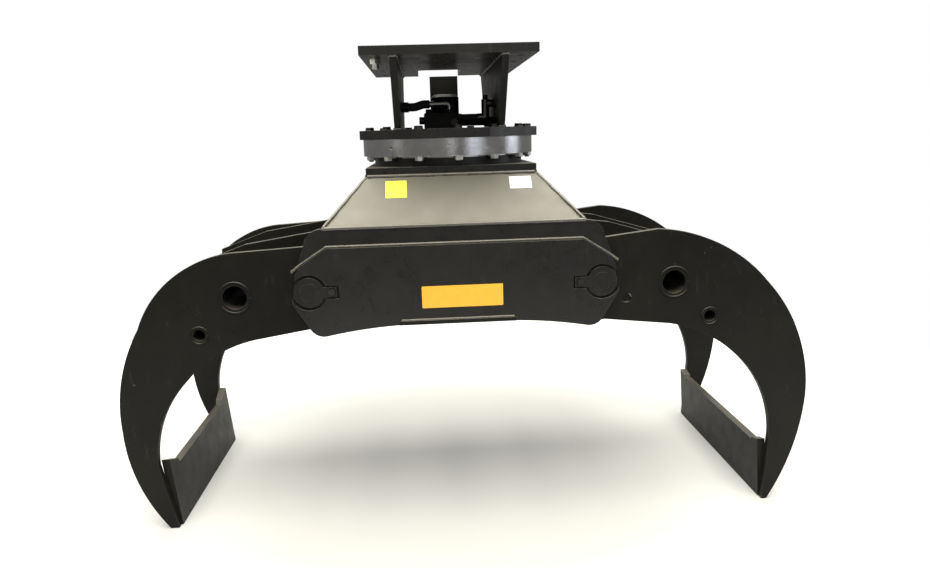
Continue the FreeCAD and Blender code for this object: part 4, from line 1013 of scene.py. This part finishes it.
@dataclass(frozen=True)
class ClawWelds:
    """The weld rings of one claw, round its pivot tube and its cross tubes."""

    finishes: Finishes
    stations: Stations
    side: str
    sign: int
    body: Body
    large_place: tuple[float, float] = (0.229, -0.019)
    small_place: tuple[float, float] = (0.344, -0.130)
    hub_ring: tuple[float, float, int] = (0.0050, 0.0655, 48)
    large_ring: tuple[float, float, int] = (0.0034, 0.0465, 48)
    small_ring: tuple[float, float, int] = (0.0030, 0.0260, 32)
    inner_ring: tuple[float, float, int] = (0.0042, 0.0470, 40)

    @staticmethod
    def around(centre: Vector, y: float, ring: tuple[float, float, int]) -> Run:
        """Return one ring of weld at a depth.

        Args:
            centre: The tube's middle.
            y: The plate's face.
            ring: The bead's radius, the ring's radius and its count of sides.

        Returns:
            The bead's radius and its line.
        """
        bead, radius, parts = ring
        return bead, upright_circle(centre + Vector((0, y, 0)), radius, parts)

    def make(self) -> None:
        """Make the rings."""
        at = self.stations
        hub = Vector((self.sign * at.pin_x, 0, at.pin_z))
        large = hub + Vector((self.sign * self.large_place[0], 0, self.large_place[1]))
        small = hub + Vector((self.sign * self.small_place[0], 0, self.small_place[1]))
        front_low, front_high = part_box(f"{self.side}_front_tine")
        rear_low, rear_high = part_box(f"{self.side}_rear_tine")
        runs: list[Run] = []
        for y in (front_low.y, front_high.y, rear_low.y, rear_high.y):
            runs.append(self.around(large, y, self.large_ring))
            runs.append(self.around(small, y, self.small_ring))
        for y in (low(f"{self.side}_front_inner_plate").y,
                  high(f"{self.side}_rear_inner_plate").y):
            runs.append(self.around(hub, y, self.hub_ring))
            runs.append(self.around(large, y, self.inner_ring))
        for y in (front_high.y, rear_low.y):
            runs.append(self.around(hub, y, self.hub_ring))
        make_beads(f"{self.side}_claw_welds", self.body, runs, self.finishes.claw_paint)


# ---------------------------------------------------------------- studio

@dataclass(frozen=True)
class Lamp:
    """A soft area lamp that the camera doesn't see."""

    name: str
    place: Tone
    target: Tone
    size: tuple[float, float]
    power: float
    tone: Tone

    def make(self) -> None:
        """Hang the lamp."""
        lamp = bpy.data.lights.new(self.name, "AREA")
        lamp.shape = "RECTANGLE"
        lamp.size, lamp.size_y = self.size
        lamp.energy = self.power
        lamp.color = self.tone
        thing = bpy.data.objects.new(self.name, lamp)
        bpy.context.scene.collection.objects.link(thing)
        thing.location = self.place
        aim = Vector(self.target) - Vector(self.place)
        thing.rotation_mode = "QUATERNION"
        thing.rotation_quaternion = aim.to_track_quat("-Z", "Y")
        thing.visible_camera = False


@dataclass(frozen=True)
class Studio:
    """The pale floor, the room, the lamps and the camera."""

    stations: Stations
    floor_radius: float = 2.7
    floor_gap: float = 0.0004
    room_strength: float = 1.1
    lens: float = 27.0
    sensor: float = 36.0
    yaw: float = 3.0437
    pitch: float = 12.1635
    roll: float = -1.6931
    camera_offset: Tone = (-0.05226, 0.02124, 4.73943)
    unit: float = 0.430
    unit_lift: float = 0.93
    lamps: tuple[Lamp, ...] = (
        Lamp("ceiling", (0.0, -0.6, 2.6), (0, -0.6, 0), (5.2, 5.0), 520, (1.0, 0.965, 0.83)),
        Lamp("window_left", (-4.2, -1.6, 0.8), (0, 0, -0.7), (1.2, 1.6), 8,
             (1.0, 0.96, 0.86)),
        Lamp("window_right", (2.4, -3.7, 0.35), (0, 0, -0.28), (1.5, 1.7), 11,
             (0.84, 0.90, 1.0)),
        Lamp("doorway_right", (4.2, 0.1, 0.3), (0, 0, -0.28), (1.6, 1.6), 12,
             (0.86, 0.91, 1.0)),
        Lamp("strip_front", (0.22, -4.6, 0.35), (0, 0, -0.28), (0.14, 1.6), 2.2,
             (1.0, 0.98, 0.94)),
    )

    def make_floor(self) -> None:
        """Make the pale floor, a disc that glows more towards its rim (painted light) and so
        fades into the white round it.
        """
        bm = bmesh.new()
        parts, reach = 96, self.floor_radius
        level = self.stations.floor_z - self.floor_gap
        turns = (2 * math.pi * i / parts for i in range(parts))
        bm.faces.new([bm.verts.new((reach * math.cos(a), reach * math.sin(a), level))
                      for a in turns])
        mesh = bpy.data.meshes.new("floor")
        bm.to_mesh(mesh)
        bm.free()
        floor = bpy.data.objects.new("floor", mesh)
        bpy.context.scene.collection.objects.link(floor)
        look = Shading("pale_floor")
        tone = look.ramp(look.noise(0.8, 3), (0.3, (0.44, 0.44, 0.44)),
                         (0.8, (0.47, 0.47, 0.47)))
        look.drive(tone, "Base Color")
        look.set("Roughness", 0.85)
        look.set("Specular IOR Level", 0.1)
        # Painted light: the floor glows, weakly near the grapple and strongly towards the
        # rim. This stands in for lamp light where the ceiling lamp falls off, and the glow
        # also lights the grapple from below.
        flat = look.node("ShaderNodeVectorMath", operation="LENGTH")
        look.join(look.scaled(1, 1, 0), flat.inputs[0])
        look.set("Emission Color", (1, 1, 1, 1))
        look.drive(look.range(flat.outputs["Value"], 0.7, 2.5, 0.08, 0.75),
                   "Emission Strength")
        mesh.materials.append(look.material)

    def make_room(self) -> None:
        """Make the room, white to the camera and brighter overhead than at eye level."""
        world = bpy.data.worlds.new("room")
        bpy.context.scene.world = world
        world.use_nodes = True
        tree = world.node_tree
        tree.nodes.clear()
        out = tree.nodes.new("ShaderNodeOutputWorld")
        place = tree.nodes.new("ShaderNodeTexCoord")
        split = tree.nodes.new("ShaderNodeSeparateXYZ")
        ramp = tree.nodes.new("ShaderNodeValToRGB")
        height = tree.nodes.new("ShaderNodeMapRange")
        height.inputs["From Min"].default_value = -0.3
        room = tree.nodes.new("ShaderNodeBackground")
        white = tree.nodes.new("ShaderNodeBackground")
        pick = tree.nodes.new("ShaderNodeMixShader")
        rays = tree.nodes.new("ShaderNodeLightPath")
        stops = ramp.color_ramp.elements
        stops[0].position, stops[0].color = 0.18, (0.13, 0.125, 0.12, 1)
        stops[1].position, stops[1].color = 0.85, (1.0, 0.98, 0.90, 1)
        room.inputs["Strength"].default_value = self.room_strength
        white.inputs["Color"].default_value = (1, 1, 1, 1)
        white.inputs["Strength"].default_value = 1.0
        for source, target in (
                (place.outputs["Generated"], split.inputs["Vector"]),
                (split.outputs["Z"], height.inputs["Value"]),
                (height.outputs["Result"], ramp.inputs["Fac"]),
                (ramp.outputs["Color"], room.inputs["Color"]),
                (rays.outputs["Is Camera Ray"], pick.inputs["Fac"]),
                (room.outputs["Background"], pick.inputs[1]),
                (white.outputs["Background"], pick.inputs[2]),
                (pick.outputs["Shader"], out.inputs["Surface"])):
            tree.links.new(source, target)

    def make_camera(self) -> None:
        """Place the camera in front, a little left of the middle, looking down."""
        yaw, pitch, roll = (math.radians(v) for v in (self.yaw, self.pitch, self.roll))
        swing = Matrix(((math.cos(yaw), -math.sin(yaw), 0),
                        (math.sin(yaw), math.cos(yaw), 0), (0, 0, 1)))
        base = Matrix(((1, 0, 0), (0, 0, -1), (0, 1, 0)))
        tilt = Matrix(((1, 0, 0), (0, math.cos(pitch), -math.sin(pitch)),
                       (0, math.sin(pitch), math.cos(pitch))))
        lean = Matrix(((math.cos(roll), -math.sin(roll), 0),
                       (math.sin(roll), math.cos(roll), 0), (0, 0, 1)))
        right, down, ahead = lean @ tilt @ base @ swing
        data = bpy.data.cameras.new("camera")
        data.sensor_width = self.sensor
        data.lens = self.lens
        camera = bpy.data.objects.new("camera", data)
        bpy.context.scene.collection.objects.link(camera)
        axes = Matrix((right, -down, -ahead)).transposed().to_4x4()
        x, y, z = self.camera_offset
        reach = x * right + y * down + z * ahead
        origin = Vector((0, -self.unit_lift * self.unit, self.stations.pin_z))
        camera.matrix_world = Matrix.Translation(-self.unit * reach + origin) @ axes
        bpy.context.scene.camera = camera

    def make(self) -> None:
        """Set up the floor, the room, the lamps and the camera."""
        bpy.context.scene.view_settings.view_transform = "Standard"
        self.make_floor()
        self.make_room()
        for lamp in self.lamps:
            lamp.make()
        self.make_camera()


def main() -> None:
    """Dress the frame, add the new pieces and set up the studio."""
    logging.basicConfig(level=logging.INFO)
    stations = Stations.measure()
    finishes = Finishes()
    finishes.dress()
    for assembly in (
            RingFasteners(finishes, stations),
            PlainPatches(finishes, stations),
            FrameWelds(finishes, stations),
            AdapterWelds(finishes, stations),
            ClawWelds(finishes, stations, "left", -1, Body.LEFT_CLAW),
            ClawWelds(finishes, stations, "right", 1, Body.RIGHT_CLAW),
            Studio(stations)):
        assembly.make()
        LOG.info("finished %s", type(assembly).__name__)


if __name__ == "__main__":
    main()
